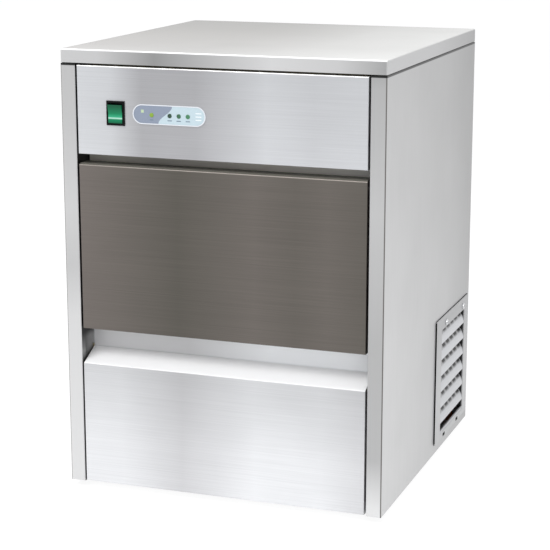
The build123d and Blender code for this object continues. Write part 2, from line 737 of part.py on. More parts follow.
def switch_housing():
    """Snap-in rocker switch body with its bezel and three blade terminals."""
    across, high, thick = SWITCH_BEZEL
    hole_across, hole_high = SWITCH_CUTOUT
    bezel = block(switch_x - across / 2, switch_x + across / 2, front - thick, front,
                  switch_z - high / 2, switch_z + high / 2)
    bezel = fillet(bezel.faces().sort_by(Axis.Y)[0].edges(), 0.9)
    body = block(switch_x - hole_across / 2 + 0.1, switch_x + hole_across / 2 - 0.1, front - 0.5, front + 20,
                 switch_z - hole_high / 2 + 0.1, switch_z + hole_high / 2 - 0.1)
    body += bezel
    width, height = ROCKER_SIZE
    body -= block(switch_x - width / 2 - 0.2, switch_x + width / 2 + 0.2, front - thick - 1, front + 8,
                  switch_z - height / 2 - 1.0, switch_z + height / 2 + 1.0)
    body -= rod_x(switch_x - width / 2 - 0.85, switch_x + width / 2 + 0.85, front + 1.5, switch_z,
                  1.2 + RUNNING_CLEARANCE)
    for place in (-9.0, 0.0, 9.0):
        body += block(switch_x - 3.1, switch_x + 3.1, front + 20, front + 27, switch_z + place - 0.4,
                      switch_z + place + 0.4)
    return body


def switch_rocker():
    """Rocker with a shallow V front, resting with its lower half out."""
    width, height = ROCKER_SIZE
    half = height / 2
    outline = [(-5.5, -half), (-3.6, 0), (-5.5, half), (2.0, half - 2), (4.5, 0), (2.0, -half + 2)]
    rocker = prism_x(outline, -width / 2, width / 2)
    rocker += rod_x(-width / 2 - 0.75, width / 2 + 0.75, 0, 0, 1.2)
    return Pos(switch_x, front + 1.5, switch_z) * Rot(ROCKER_TILT, 0, 0) * rocker


def display_plate():
    """Raised display field with a rim, drilled for the lamps."""
    across, high = DISPLAY_SIZE
    centre = Pos(display_x, front, switch_z + 0.6) * Rot(90, 0, 0)
    plate = centre * extrude(SlotOverall(across, high), amount=DISPLAY_THICKNESS)
    rim = SlotOverall(across, high) - SlotOverall(across - 2 * DISPLAY_RIM, high - 2 * DISPLAY_RIM)
    plate += centre * extrude(rim, amount=DISPLAY_THICKNESS + 0.5)
    for x in lamp_places():
        plate -= rod_y(front - 3, front + 1, x, switch_z, LAMP_RADIUS + 0.1)
    return plate


def lamp(x):
    lens = rod_y(front - DISPLAY_THICKNESS - 0.9, front + BOARD_STANDOFF, x, switch_z, LAMP_RADIUS)
    return fillet(lens.edges().sort_by(Axis.Y)[0], 0.8)


def power_lamp():
    return lamp(lamp_places()[0])


def status_lamps():
    return Compound(children=[lamp(x) for x in lamp_places()[1:]])


def control_board():
    """Circuit board behind the display, on four spacers, with a relay, a chip and a terminal strip."""
    across, high, thick = BOARD_SIZE
    x0, x1 = display_x - across / 2, display_x + across / 2
    z0, z1 = switch_z - high / 2, switch_z + high / 2
    near = front + BOARD_STANDOFF
    far = near + thick
    board = block(x0, x1, near, far, z0, z1)
    for x in (x0 + 4, x1 - 4):
        for z in (z0 + 4, z1 - 4):
            board += rod_y(front + SHEET, near, x, z, 2.5)
    board += block(x0 + 10, x0 + 34, far, far + 13, z0 + 6, z0 + 24)
    board += block(x0 + 42, x0 + 56, far, far + 3, z0 + 8, z0 + 22)
    board += block(x0 + 66, x0 + 96, far, far + 9, z0 + 4, z0 + 12)
    return board


def air_grille():
    """Side plate round the louvre opening, with a cheek at each end of the blades and its fixing holes."""
    y0, y1, z0, z1 = grille_limits()
    hole_front, hole_back, hole_low, hole_high = louvre_limits()
    plate = block(side, side + GRILLE_PLATE, y0, y1, z0, z1)
    plate = fillet(plate.edges().filter_by(Axis.X), 2.0)
    plate = fillet(plate.faces().sort_by(Axis.X)[-1].edges(), 0.6)
    plate -= block(side - 1, side + 5, hole_front, hole_back, hole_low + 2.5, hole_high)
    for start in (hole_front - GRILLE_CHEEK, hole_back):
        plate += block(side - BLADE_REACH + 1, side + 0.5, start, start + GRILLE_CHEEK, hole_low + 5, hole_high)
    upper, lower = grille_screw_places()
    for y, z in upper:
        plate -= rod_x(side - 1, side + 5, y, z, 2.2)
    for y, z in lower:
        plate -= block(side - 1, side + 5, y - 3.0, y + 3.0, z - 1.0, z + 1.8)
    return plate


def blade_section(low, top):
    """A curved, inclined slat in X and Z: low edge outside, high edge inside."""
    outer = side + GRILLE_PLATE - 0.4
    inner = side - BLADE_REACH
    thick = BLADE_THICKNESS
    middle_x = (outer + inner) / 2 + BLADE_BULGE
    middle_z = (low + top) / 2 + BLADE_BULGE / 2
    upper_face = ThreePointArc((outer, low + thick), (middle_x, middle_z + thick / 2), (inner, top))
    inner_edge = Line((inner, top), (inner, top - thick))
    lower_face = ThreePointArc((inner, top - thick), (middle_x, middle_z - thick / 2), (outer, low))
    outer_edge = Line((outer, low), (outer, low + thick))
    return make_face([upper_face, inner_edge, lower_face, outer_edge])


def grille_blades():
    """Curved slats with rounded upper corners, and the ribs that tie them together behind."""
    hole_front, hole_back, hole_low, hole_high = louvre_limits()
    pitch = (hole_high - hole_low - 16) / LOUVRE_COUNT
    inner = side - BLADE_REACH
    solids = []
    for place in range(LOUVRE_COUNT):
        top = hole_high - 2 - pitch * place
        low = top - pitch * 0.80
        slat = Pos(0, hole_back, 0) * extrude(Plane.XZ * blade_section(low, top), amount=LOUVRE_WIDTH)
        room = block(inner - 2, side + GRILLE_PLATE, hole_front, hole_back, low - 2, top)
        room = fillet(room.edges().filter_by(Axis.X).group_by(Axis.Z)[-1], BLADE_CORNER)
        solids.append(slat & room)
    spacing = (LOUVRE_WIDTH - 2) / (GRILLE_RIBS - 1)
    for rib in range(GRILLE_RIBS):
        y = hole_front + 1 + spacing * rib
        tie = block(inner - 1.5, inner, y - 1, y + 1, hole_low + 5, hole_high + 1.5)
        solids.append(tie + block(inner - 1.5, side, y - 1, y + 1, hole_high - 1, hole_high + 1.5))
    return Compound(children=solids)


def grille_screws():
    screw = Rot(0, 90, 0) * round_screw(6.0, 4.6, 2.6, 1.9)
    return Compound(children=[Pos(side + GRILLE_PLATE, y, z) * screw for y, z in grille_screw_places()[0]])


def compressor():
    """Sealed compressor shell with its weld band and foot plate."""
    x, y = compressor_x, compressor_y
    shell = rod_z(shell_bottom, shell_bottom + COMPRESSOR_HEIGHT, x, y, COMPRESSOR_RADIUS)
    shell = fillet(shell.edges().filter_by(GeomType.CIRCLE), COMPRESSOR_RADIUS * 0.43)
    middle = shell_bottom + COMPRESSOR_HEIGHT * 0.55
    shell += rod_z(middle, middle + 5, x, y, COMPRESSOR_RADIUS + 1.6)
    across, deep, thick = FOOT_PLATE
    top = shell_bottom + 0.5
    plate = block(x - across / 2, x + across / 2, y - deep / 2, y + deep / 2, top - thick, top)
    for dx, dy in compressor_feet():
        plate -= rod_z(top - thick - 2, top + 2, x + dx, y + dy, 7.0)
    return shell + plate


def compressor_feet():
    across, deep = FOOT_PLATE_HOLES
    return [(dx, dy) for dx in (-across / 2, across / 2) for dy in (-deep / 2, deep / 2)]


def compressor_mounts():
    """Rubber grommets that carry the compressor's foot plate."""
    top = shell_bottom + 0.5
    low = top - FOOT_PLATE[2]
    solids = []
    for dx, dy in compressor_feet():
        x, y = compressor_x + dx, compressor_y + dy
        mount = rod_z(base_floor, low, x, y, 11.0)
        mount += rod_z(low, top, x, y, 6.9)
        mount += rod_z(top, top + 2.5, x, y, 9.5)
        solids.append(mount)
    return Compound(children=solids)


def compressor_terminal_cover():
    x, y = compressor_x, compressor_y
    across, proud, high = TERMINAL_COVER
    near = y - COMPRESSOR_RADIUS
    low = shell_bottom + TERMINAL_COVER_RISE
    cover = block(x - across / 2, x + across / 2, near - proud, near + 14, low, low + high)
    cover = fillet(cover.edges().filter_by(Axis.Y), 4)
    return cover - rod_z(shell_bottom, shell_bottom + COMPRESSOR_HEIGHT, x, y, COMPRESSOR_RADIUS + 1.7)


def condenser_fins():
    """Fin stack, with the fins edge-on to the side grille."""
    half = CONDENSER_THICKNESS / 2
    pitch = (CONDENSER_WIDTH - 5) / (CONDENSER_FINS - 1)
    fins = []
    for place in range(CONDENSER_FINS):
        y = condenser_front + 2.5 + pitch * place
        fins.append(block(condenser_x - half, condenser_x + half, y - 0.3, y + 0.3,
                          CONDENSER_BOTTOM, CONDENSER_BOTTOM + CONDENSER_HEIGHT))
    return Compound(children=fins)


def condenser_levels():
    pitch = CONDENSER_HEIGHT / CONDENSER_PASSES
    return [CONDENSER_BOTTOM + CONDENSER_HEIGHT - pitch * (place + 0.5) for place in range(CONDENSER_PASSES)]


def condenser_ends():
    """Where the coil's two open ends lie, and its bends in front of and behind the fins."""
    return condenser_front - 14, condenser_front - 12, condenser_front + CONDENSER_WIDTH + 12


def condenser_coil():
    """Serpentine tube with the two end plates that stand on the base."""
    open_end, near, far = condenser_ends()
    points = [(condenser_x, open_end, condenser_levels()[0])]
    for place, level in enumerate(condenser_levels()):
        ends = (near, far) if place % 2 == 0 else (far, near)
        if place > 0:
            points.append((condenser_x, ends[0], level))
        if place < CONDENSER_PASSES - 1:
            points.append((condenser_x, ends[1], level))
    points.append((condenser_x, open_end, condenser_levels()[-1]))
    pitch = CONDENSER_HEIGHT / CONDENSER_PASSES
    coil = pipe(points, 4.0, pitch / 2 - 0.3)
    half = CONDENSER_THICKNESS / 2 + 2
    for y in (condenser_front, condenser_front + CONDENSER_WIDTH - 1.2):
        coil += block(condenser_x - half, condenser_x + half, y, y + 1.2, base_floor,
                      CONDENSER_BOTTOM + CONDENSER_HEIGHT + 4)
    return coil


def fan_shroud():
    """Plate and round duct that lead the air from the condenser to the fan."""
    low = CONDENSER_BOTTOM - 8
    high = CONDENSER_BOTTOM + CONDENSER_HEIGHT + 6
    y0 = condenser_front - 4
    y1 = condenser_front + CONDENSER_WIDTH + 4
    shroud = block(shroud_plate, condenser_inner, y0, y1, low, high)
    shroud += rod_x(duct_start, condenser_inner, fan_y, fan_z, duct_inner + 1.5)
    return shroud - rod_x(duct_start - 1, condenser_inner + 1, fan_y, fan_z, duct_inner)


def fan_blades():
    """Five pitched blades on a hub with the motor's shaft."""
    middle = (fan_front + fan_back) / 2
    fan = rod_x(fan_front, fan_back, fan_y, fan_z, 17)
    for place in range(5):
        blade = Pos(0, 0, FAN_RADIUS / 2 + 7) * Rot(0, 0, 28) * Box(1.6, 30, FAN_RADIUS - 14)
        blade &= Rot(0, 90, 0) * Cylinder(FAN_RADIUS, 40)
        fan += Pos(middle, fan_y, fan_z) * Rot(72 * place, 0, 0) * blade
    return fan + rod_x(motor_front - 9, fan_front, fan_y, fan_z, 3.0)


def fan_motor():
    motor = rod_x(motor_back, motor_front, fan_y, fan_z, 25)
    motor = fillet(motor.edges().filter_by(GeomType.CIRCLE), 2)
    motor += block(motor_back + 6, motor_back + 26, fan_y - 12, fan_y + 12, fan_z + 18, fan_z + 31)
    return motor - rod_x(motor_front - 10, motor_front + 1, fan_y, fan_z, 3.0 + RUNNING_CLEARANCE)


def fan_bracket():
    """Standing plate with a foot that carries the fan motor."""
    plate = block(motor_back - 3, motor_back, fan_y - 22, fan_y + 22, base_floor, fan_z + 26)
    return plate + block(motor_back - 25, motor_back, fan_y - 22, fan_y + 22, base_floor, base_floor + 3)


def discharge_line():
    """Hot gas from the compressor to the condenser's upper end."""
    start = compressor_x + COMPRESSOR_RADIUS
    along = start + 24
    low = shell_bottom + DISCHARGE_RISE
    level = condenser_levels()[0]
    high = level + 43
    points = [
        (start, compressor_y, low),
        (along, compressor_y, low),
        (along, lines_y, low),
        (along, lines_y, high),
        (condenser_x, lines_y, high),
        (condenser_x, lines_y, level),
        (condenser_x, condenser_ends()[0], level),
    ]
    return pipe(points, HOT_LINE_RADIUS, 5)


def liquid_line():
    """Liquid from the condenser's lower end to the drier."""
    level = condenser_levels()[-1]
    low = drier_bottom - 22
    points = [
        (condenser_x, condenser_ends()[0], level),
        (condenser_x, lines_y, level),
        (condenser_x, lines_y, low),
        (drier_x, lines_y, low),
        (drier_x, lines_y, drier_bottom),
    ]
    return pipe(points, HOT_LINE_RADIUS, 5)


def filter_drier():
    drier = rod_z(drier_bottom, drier_bottom + DRIER_LENGTH, drier_x, lines_y, DRIER_RADIUS)
    return fillet(drier.edges().filter_by(GeomType.CIRCLE), 5)


def suction_drop():
    """Where the suction line comes down beside the compressor."""
    reach = (COMPRESSOR_RADIUS + 14) * sin(radians(45))
    return compressor_x - reach, compressor_y + reach


def supply_drop():
    """Where the supply line goes up, clear of the suction line."""
    x, y = suction_drop()
    return x + 12, y + 9


def evaporator_ends():
    """The two open tube ends on the evaporator's left."""
    x = tray_left - 15
    return (x, finger_rows[0], evaporator_z), (x, finger_rows[1], evaporator_z)


def suction_line():
    """Cold gas from the evaporator down through the foam to the compressor."""
    start = evaporator_ends()[1]
    drop_x, drop_y = suction_drop()
    reach = (COMPRESSOR_RADIUS + 0.1) * sin(radians(45))
    low = shell_bottom + SUCTION_RISE
    points = [start, (drop_x, start[1], start[2]), (drop_x, drop_y, start[2]), (drop_x, drop_y, low),
              (compressor_x - reach, compressor_y + reach, low)]
    return pipe(points, COLD_LINE_RADIUS, 7)


def supply_line():
    """From the drier and the hot gas valve up through the foam to the evaporator."""
    start = evaporator_ends()[0]
    level = evaporator_z + 24
    drop_x, drop_y = supply_drop()
    points = [start, (drop_x, start[1], start[2]), (drop_x, start[1], level), (drop_x, drop_y, level),
              (drop_x, drop_y, lines_z), (valve_x, drop_y, lines_z), (valve_x, compressor_y, lines_z),
              (valve_x, compressor_y, valve_top)]
    return pipe(points, COLD_LINE_RADIUS, 5.5)


def bypass_line():
    """From the drier to the hot gas valve."""
    start = drier_bottom + DRIER_LENGTH
    level = (start + lines_z) / 2 - 12
    points = [(drier_x, lines_y, start), (drier_x, lines_y, level), (valve_x, lines_y + 27, level),
              (valve_x, compressor_y, level), (valve_x, compressor_y, valve_bottom)]
    return pipe(points, CAPILLARY_RADIUS, 4)


def refrigerant_lines():
    lines = [discharge_line(), liquid_line(), suction_line(), supply_line(), bypass_line()]
    return Compound(children=lines)


def hot_gas_valve():
    """Valve body on the line, with its coil and terminal to the right."""
    middle = (valve_top + valve_bottom) / 2
    valve = rod_z(valve_bottom, valve_top, valve_x, compressor_y, VALVE_RADIUS)
    valve += block(valve_x - 8, valve_x + 24, compressor_y - 8, compressor_y + 8, middle - 8, middle + 8)
    return valve + rod_x(valve_x + 24, valve_x + 28, compressor_y, middle, 5)


def water_inlet_valve():
    """Solenoid valve whose threaded spout stands through the rear panel."""
    seat = rear_plate - 6
    spout = rod_y(seat, back + 2.5, inlet_x, inlet_z, INLET_THREAD_RADIUS)
    spout += rod_y(seat, rear_plate - SHEET, inlet_x, inlet_z, INLET_THREAD_RADIUS + 4)
    spout += block(inlet_x - 13, inlet_x + 13, rear_plate - 34, seat, inlet_z - 12, inlet_z + 12)
    spout += rod_x(inlet_x + 13, inlet_x + 43, rear_plate - 20, inlet_z, 12)
    spout += rod_z(inlet_z + 12, inlet_z + 22, inlet_x, fill_tube_y, 5)
    return spout - rod_y(back - 8, back + 3, inlet_x, inlet_z, 9)


def water_fill_tube():
    """Tube from the valve up behind the ice maker to a mouth above the tray."""
    high = tray_top + 20
    points = [(inlet_x, fill_tube_y, inlet_z + 22), (inlet_x, fill_tube_y, high), (inlet_x, tray_back - 10, high),
              (inlet_x, tray_back - 10, tray_top + 6)]
    return pipe(points, HOT_LINE_RADIUS, 8)


def drain_pipe():
    """Drain from the bin's floor to a flanged hose tail at the rear."""
    end = back + 2.5
    bend = 12
    elbow = (DRAIN_X, drain_y, DRAIN_HEIGHT)
    points = [(DRAIN_X, drain_y, BIN_FLOOR_HEIGHT), elbow, (DRAIN_X, end, DRAIN_HEIGHT)]
    inner = [(DRAIN_X, drain_y, BIN_FLOOR_HEIGHT + 3), elbow, (DRAIN_X, end + 1, DRAIN_HEIGHT)]
    outside = pipe(points, DRAIN_RADIUS, bend)
    outside += rod_z(BIN_FLOOR_HEIGHT, BIN_FLOOR_HEIGHT + 1.5, DRAIN_X, drain_y, DRAIN_RADIUS + 5)
    outside += rod_y(rear_plate - 5, rear_plate - SHEET, DRAIN_X, DRAIN_HEIGHT, DRAIN_RADIUS + 4)
    return outside - pipe(inner, DRAIN_BORE, bend)


def electrical_limits(inset):
    """The electrical box's sides, its front wall and its levels, drawn in by a distance."""
    across, deep, high = ELECTRICAL_BOX
    left = GLAND_X - across / 2 + inset
    right = GLAND_X + across / 2 - inset
    low = GLAND_HEIGHT - high * 2 / 3 + inset
    return left, right, rear_plate - SHEET - deep + inset, low, GLAND_HEIGHT + high / 3 - inset


def electrical_box():
    """Cover over the mains terminals, closed off by the rear panel."""
    left, right, near, low, high = electrical_limits(0)
    box = block(left, right, near, rear_plate - SHEET, low, high)
    box = fillet(box.edges().filter_by(Axis.Y), 4)
    left, right, near, low, high = electrical_limits(ELECTRICAL_WALL)
    return box - block(left, right, near, rear_plate, low, high)


def terminal_block():
    """Row of mains terminals inside the electrical box."""
    wall = electrical_limits(ELECTRICAL_WALL)[2]
    piece = block(GLAND_X - 26, GLAND_X + 26, wall, wall + 14, GLAND_HEIGHT - 45, GLAND_HEIGHT - 27)
    for place in range(5):
        piece -= rod_y(wall + 8, wall + 15, GLAND_X - 20 + 10 * place, GLAND_HEIGHT - 36, 2.5)
    return piece


def cable_gland():
    """Gland for the mains lead: flange, dome nut, barrel and lock nut."""
    centre = Pos(GLAND_X, 0, GLAND_HEIGHT) * Rot(-90, 0, 0)
    gland = centre * Pos(0, 0, rear_plate) * extrude(RegularPolygon(11, 6), amount=5)
    gland += rod_y(rear_plate + 5, back - 1.5, GLAND_X, GLAND_HEIGHT, 9.2)
    gland += rod_y(rear_plate - 9, rear_plate, GLAND_X, GLAND_HEIGHT, GLAND_BARREL)
    gland += centre * Pos(0, 0, rear_plate - SHEET - 4) * extrude(RegularPolygon(11, 6), amount=4)
    return gland - rod_y(rear_plate - 10, back, GLAND_X, GLAND_HEIGHT, GLAND_BORE)


def finger_places():
    return [(finger_first_x + FINGER_PITCH * place, y) for place in range(FINGER_COUNT) for y in finger_rows]


def evaporator():
    """Tube loop that carries the two rows of freezing fingers."""
    x_end = finger_places()[-1][0] + 20
    first, last = evaporator_ends()
    points = [first, (x_end, finger_rows[0], evaporator_z), (x_end, finger_rows[1], evaporator_z), last]
    return pipe(points, EVAPORATOR_TUBE, 10)


def freezing_fingers():
    """Round-ended studs brazed under the tube, each saddled to it, that the ice forms on."""
    top = evaporator_z - 2
    solids = []
    for x, y in finger_places():
        finger = rod_z(top - 3 - FINGER_LENGTH, top, x, y, FINGER_RADIUS)
        finger = fillet(finger.edges().sort_by(Axis.Z)[0], 3)
        solids.append(finger - rod_x(x - 10, x + 10, y, evaporator_z, EVAPORATOR_TUBE))
    return Compound(children=solids)


def water_tray():
    """Tilting trough round the fingers, with an ear at each end and a trunnion on the left."""
    low = tray_top - TRAY_DEPTH
    tray = block(tray_left, tray_right, tray_front, tray_back, low, tray_top)
    tray = fillet(tray.edges().filter_by(Axis.X).sort_by(Axis.Z)[:2], 10)
    inside = block(tray_left + TRAY_WALL, tray_right - TRAY_WALL, tray_front + TRAY_WALL, tray_back - TRAY_WALL,
                   low + TRAY_WALL, tray_top + 1)
    tray -= fillet(inside.edges().filter_by(Axis.X).sort_by(Axis.Z)[:2], 8)
    for x in (tray_left, tray_right - TRAY_WALL):
        tray += block(x, x + TRAY_WALL, tray_back - 12, tray_pivot_y, tray_top - 14, tray_pivot_z)
        tray += rod_x(x, x + TRAY_WALL, tray_pivot_y, tray_pivot_z, 8)
    tray += rod_x(tray_left - 8.5, tray_left, tray_pivot_y, tray_pivot_z, TRAY_PIVOT_RADIUS)
    return tray - rod_x(tray_right - TRAY_WALL - 1, tray_right + 1, tray_pivot_y, tray_pivot_z, TRAY_PIVOT_RADIUS)


def tray_drive_shaft():
    return rod_x(tray_right - TRAY_WALL - 3, tray_right + 22, tray_pivot_y, tray_pivot_z, TRAY_PIVOT_RADIUS)


def module_frame():
    """Moulded frame under the cover that holds the evaporator, the tray's pivots and the gear motor."""
    left = tray_left - 8
    right = tray_right + 5
    low = evaporator_z - 22
    frame = block(left, left + 3, tray_front + 8, tray_pivot_y + 16, low, bin_ceiling)
    frame += block(right, right + 3, tray_front + 8, tray_pivot_y + 16, low, bin_ceiling)
    for y in (tray_front + 8, tray_pivot_y + 8):
        frame += block(left, right + 3, y, y + 8, bin_ceiling - 12, bin_ceiling)
    for y in finger_rows:
        frame -= rod_x(left - 1, left + 4, y, evaporator_z, EVAPORATOR_TUBE)
    frame -= rod_x(left - 1, left + 4, tray_pivot_y, tray_pivot_z, TRAY_PIVOT_RADIUS + RUNNING_CLEARANCE)
    frame -= rod_x(right - 1, right + 4, tray_pivot_y, tray_pivot_z, TRAY_PIVOT_RADIUS + 1.5)
    return frame


def tray_motor():
    """Gear motor that tilts the tray."""
    start = tray_right + 8
    end = start + GEARBOX_THICKNESS
    half = GEARBOX_HALF_HEIGHT
    gearbox = block(start, end, tray_pivot_y - half, tray_pivot_y + half - 4, tray_pivot_z - half,
                    tray_pivot_z + half)
    gearbox = fillet(gearbox.edges().filter_by(Axis.X), 3)
    gearbox += rod_x(end, end + GEAR_MOTOR_LENGTH, tray_pivot_y, tray_pivot_z, GEAR_MOTOR_RADIUS)
    return gearbox - rod_x(start - 1, end - 1, tray_pivot_y, tray_pivot_z, TRAY_PIVOT_RADIUS + RUNNING_CLEARANCE)


NODES = {
    "base_pan": base_pan,
    "feet": feet,
    "side_panel_left": lambda: mirror(side_panel(), Plane.YZ),
    "side_panel_right": side_panel_right,
    "rear_panel": rear_panel,
    "rear_screws": rear_screws,
    "top_panel": top_panel,
    "lid_screws": lid_screws,
    "control_panel": control_panel,
    "front_rails": front_rails,
    "lower_front_panel": lower_front_panel,
    "front_frame": front_frame,
    "hinge_bushes": hinge_bushes,
    "bin_liner": bin_liner,
    "bin_insulation": bin_insulation,
    "front_insulation": front_insulation,
    "bin_support_rails": bin_support_rails,
    "top_insulation": top_insulation,
    "bin_sensor": bin_sensor,
    "door_outer_panel": door_outer_panel,
    "door_top_cap": door_top_cap,
    "door_inner_liner": door_inner_liner,
    "door_foam": door_foam,
    "door_gasket": door_gasket,
    "door_hinge_blocks": door_hinge_blocks,
    "door_hinge_pins": door_hinge_pins,
    "switch_housing": switch_housing,
    "switch_rocker": switch_rocker,
    "display_plate": display_plate,
    "power_lamp": power_lamp,
    "status_lamps": status_lamps,
    "control_board": control_board,
    "air_grille": air_grille,
    "grille_blades": grille_blades,
    "grille_screws": grille_screws,
    "compressor": compressor,
    "compressor_mounts": compressor_mounts,
    "compressor_terminal_cover": compressor_terminal_cover,
    "condenser_fins": condenser_fins,
    "condenser_coil": condenser_coil,
    "fan_shroud": fan_shroud,
    "fan_blades": fan_blades,
    "fan_motor": fan_motor,
    "fan_bracket": fan_bracket,
    "filter_drier": filter_drier,
    "refrigerant_lines": refrigerant_lines,
    "hot_gas_valve": hot_gas_valve,
    "water_inlet_valve": water_inlet_valve,
    "water_fill_tube": water_fill_tube,
    "drain_pipe": drain_pipe,
    "electrical_box": electrical_box,
    "terminal_block": terminal_block,
    "cable_gland": cable_gland,
    "evaporator": evaporator,
    "freezing_fingers": freezing_fingers,
    "water_tray": water_tray,
    "tray_drive_shaft": tray_drive_shaft,
    "tray_motor": tray_motor,
    "module_frame": module_frame,
}

os.makedirs("parts", exist_ok=True)
for name, make in NODES.items():
    export_step(make(), f"parts/{name}.step")
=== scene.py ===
"""Looks of the ice cube machine: materials for every CAD node, small printed details, studio and camera."""

import json
import math

import bpy
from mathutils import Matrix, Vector


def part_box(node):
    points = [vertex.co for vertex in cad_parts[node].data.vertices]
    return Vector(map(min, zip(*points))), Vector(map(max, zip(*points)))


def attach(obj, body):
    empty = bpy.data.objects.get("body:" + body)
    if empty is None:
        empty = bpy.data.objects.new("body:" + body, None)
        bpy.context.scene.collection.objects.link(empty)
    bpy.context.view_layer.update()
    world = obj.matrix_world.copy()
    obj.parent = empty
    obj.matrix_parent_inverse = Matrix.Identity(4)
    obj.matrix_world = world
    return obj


# Colours, as 0 to 255 in the picture
# Light and dark ends of the painted reflection bands on the control panel, the lower front and the door
STEEL_LIGHT = (215, 217, 220)
STEEL_DARK = (176, 176, 179)
LOWER_LIGHT = (241, 242, 244)
LOWER_DARK = (217, 217, 219)
DOOR_LIGHT = (113, 106, 101)
DOOR_DARK = (89, 85, 78)
# Painted light and shade along the strip behind the door: darker to the left, near white to the right
STRIP_LEFT = (213, 213, 214)
STRIP_DARK = (208, 208, 209)
STRIP_RIGHT = (250, 252, 254)
WHITE = (255, 255, 255)
BLACK = (0, 0, 0)

# Painted reflection: soft upright bands of light and shade on the brushed sheet, as places across it and how
# dark each is
PANEL_REFLECTION_BANDS = ((0.0, 0.0), (0.12, 0.2), (0.23, 1.0), (0.42, 1.0), (0.66, 0.1), (0.82, 0.3), (1.0, 0.2))
DOOR_REFLECTION_BANDS = ((0.0, 0.0), (0.35, 1.0), (0.62, 0.25), (0.76, 0.6), (0.87, 0.35), (1.0, 0.7))
LOWER_REFLECTION_BANDS = ((0.0, 0.0), (0.14, 0.05), (0.36, 1.0), (0.48, 0.5), (0.62, -0.15), (0.85, 0.0), (1.0, 0.7))

# Scale of the brush marks along X, Y and Z: across the front, upright on the sides, and along the lid
BRUSH_ACROSS = (6.0, 900.0, 900.0)
BRUSH_UPRIGHT = (260.0, 260.0, 14.0)
BRUSH_LID = (6.0, 700.0, 700.0)
BRUSH_NONE = (60.0, 60.0, 60.0)
CLOUD_SCALE = (9.0, 9.0, 9.0)

# Levels and sizes of the cabinet's front in metres
PANEL_HALF = 0.195
CABINET_SIDE = 0.218
CABINET_FRONT = -0.2275
PILLAR_INNER = 0.1985
LID_TOP = 0.590
LID_SKIRT = 0.0177
SLOPE_LOW = 0.1738
SLOPE_HIGH = 0.1893
GRIP_DEPTH = 0.034
CHEEK_INNER = 0.1958
CHEEK_OUTER = 0.1966
BAND_LOW = 0.430
BAND_HIGH = 0.434
# How far under the lid's skirt the painted shadow line on the side walls lies
LID_SHADOW_DROP = 0.0038

# Grille: depths in metres at which painted shade on its slats starts and is full, and how many ribs stand
# behind them as pale stripes in that shade
DEPTH_START = 0.0010
DEPTH_FULL = 0.0028
SLAT_RIBS = 6.0

# Black strips of painted shadow round the grille's plate in metres: reach past the plate's edge, cover of
# it, and height
SHADOW_STRIP_FRONT = (0.0007, 0.0004, 0.0019)
SHADOW_STRIP_TOP = (0.0005, 0.0006, 0.0008)

# Grille's plate in metres: slots from its front and lower edges, half the size of the dark piece of painted
# shade in each slot, and the sill
SLOT_PLACES = (0.0500, 0.1260)
SLOT_RISE = 0.0030
SLOT_SHADE_HALF = (0.0054, 0.0023)
SILL_RISE = 0.0076
SILL_HEIGHT = 0.0048

# Display print in metres
DISPLAY_MARGIN = 0.0013
PRINT_RECESS = 0.0005
FIELD_THICK = 0.00012
MARK_FRONT = 0.0002
MARK_BACK = 0.0001
SPLIT_SHIFT = 0.005
SPLIT_SWING = 0.0095
SPLIT_STEPS = 12
ARC_STEPS = 16
DASH_DROP = 0.0062
DASH_HEIGHT = 0.0011
DASH_HALF = 0.0030
POWER_DASH_HALF = 0.0024
SQUARE_SIDE = 0.0038
SQUARE_SHIFT = 0.0145
SQUARE_RISE = 0.0020
LINE_START = 0.0105
LINE_END = 0.0185
LINE_TOP = 0.0046
LINE_PITCH = 0.0042
LINE_HEIGHT = 0.0012

# Thread on the water spout in metres
THREAD_PITCH = 0.001814
THREAD_TURNS = 7
THREAD_ROOT = 0.01300
THREAD_CREST = 0.01332
THREAD_END = 0.0008
THREAD_STEPS = 48

# Studio: the world's light on the object, the floor, and each lamp's name, place, size and power
WORLD_COLOUR = (0.96, 0.97, 1.0, 1)
WORLD_STRENGTH = 0.63
FLOOR_SIZE = 40
FLOOR_LEVEL = -0.0005
FLOOR_COLOUR = (0.9, 0.9, 0.9, 1)
FLOOR_WHITE = 1.12
FLOOR_SHARE = 0.40
FLOOR_SHARE_SEEN = 0.80
LAMPS = (
    ("key", (-1.1, -1.9, 2.7), (1.8, 1.4), 53.0),
    ("fill", (2.6, -0.6, 1.4), (1.4, 2.0), 18.0),
    ("top", (0.2, 0.6, 2.6), (2.0, 2.0), 20.0),
)
LAMPS_AIM = (0, 0, 0.3)

# Camera, fitted to the cabinet's corners in the photograph
CAMERA_AT = (0.7958, -2.2382, 0.8133)
CAMERA_YAW = 0.3443
CAMERA_PITCH = 0.2292
FOCAL_PIXELS = 1739.7
PICTURE_PIXELS = 550.0
SENSOR_MM = 36.0


def linear(colour):
    """A picture colour as the linear values that shaders use."""
    parts = []
    for value in colour:
        value = value / 255
        parts.append(value / 12.92 if value <= 0.04045 else ((value + 0.055) / 1.055) ** 2.4)
    return (*parts, 1.0)


def grey(value):
    """A picture colour with three equal parts."""
    return (value, value, value)


def banded(light, dark, bands):
    """Ramp stops across the front, between a light and a dark tone."""
    stops = []
    for place, darkness in bands:
        stops.append((place, tuple(a + (b - a) * darkness for a, b in zip(light, dark))))
    return stops


def new_material(name):
    """A material with its nodes, its links and its main shader."""
    material = bpy.data.materials.new(name)
    material.use_nodes = True
    nodes = material.node_tree.nodes
    return material, nodes, material.node_tree.links, nodes["Principled BSDF"]


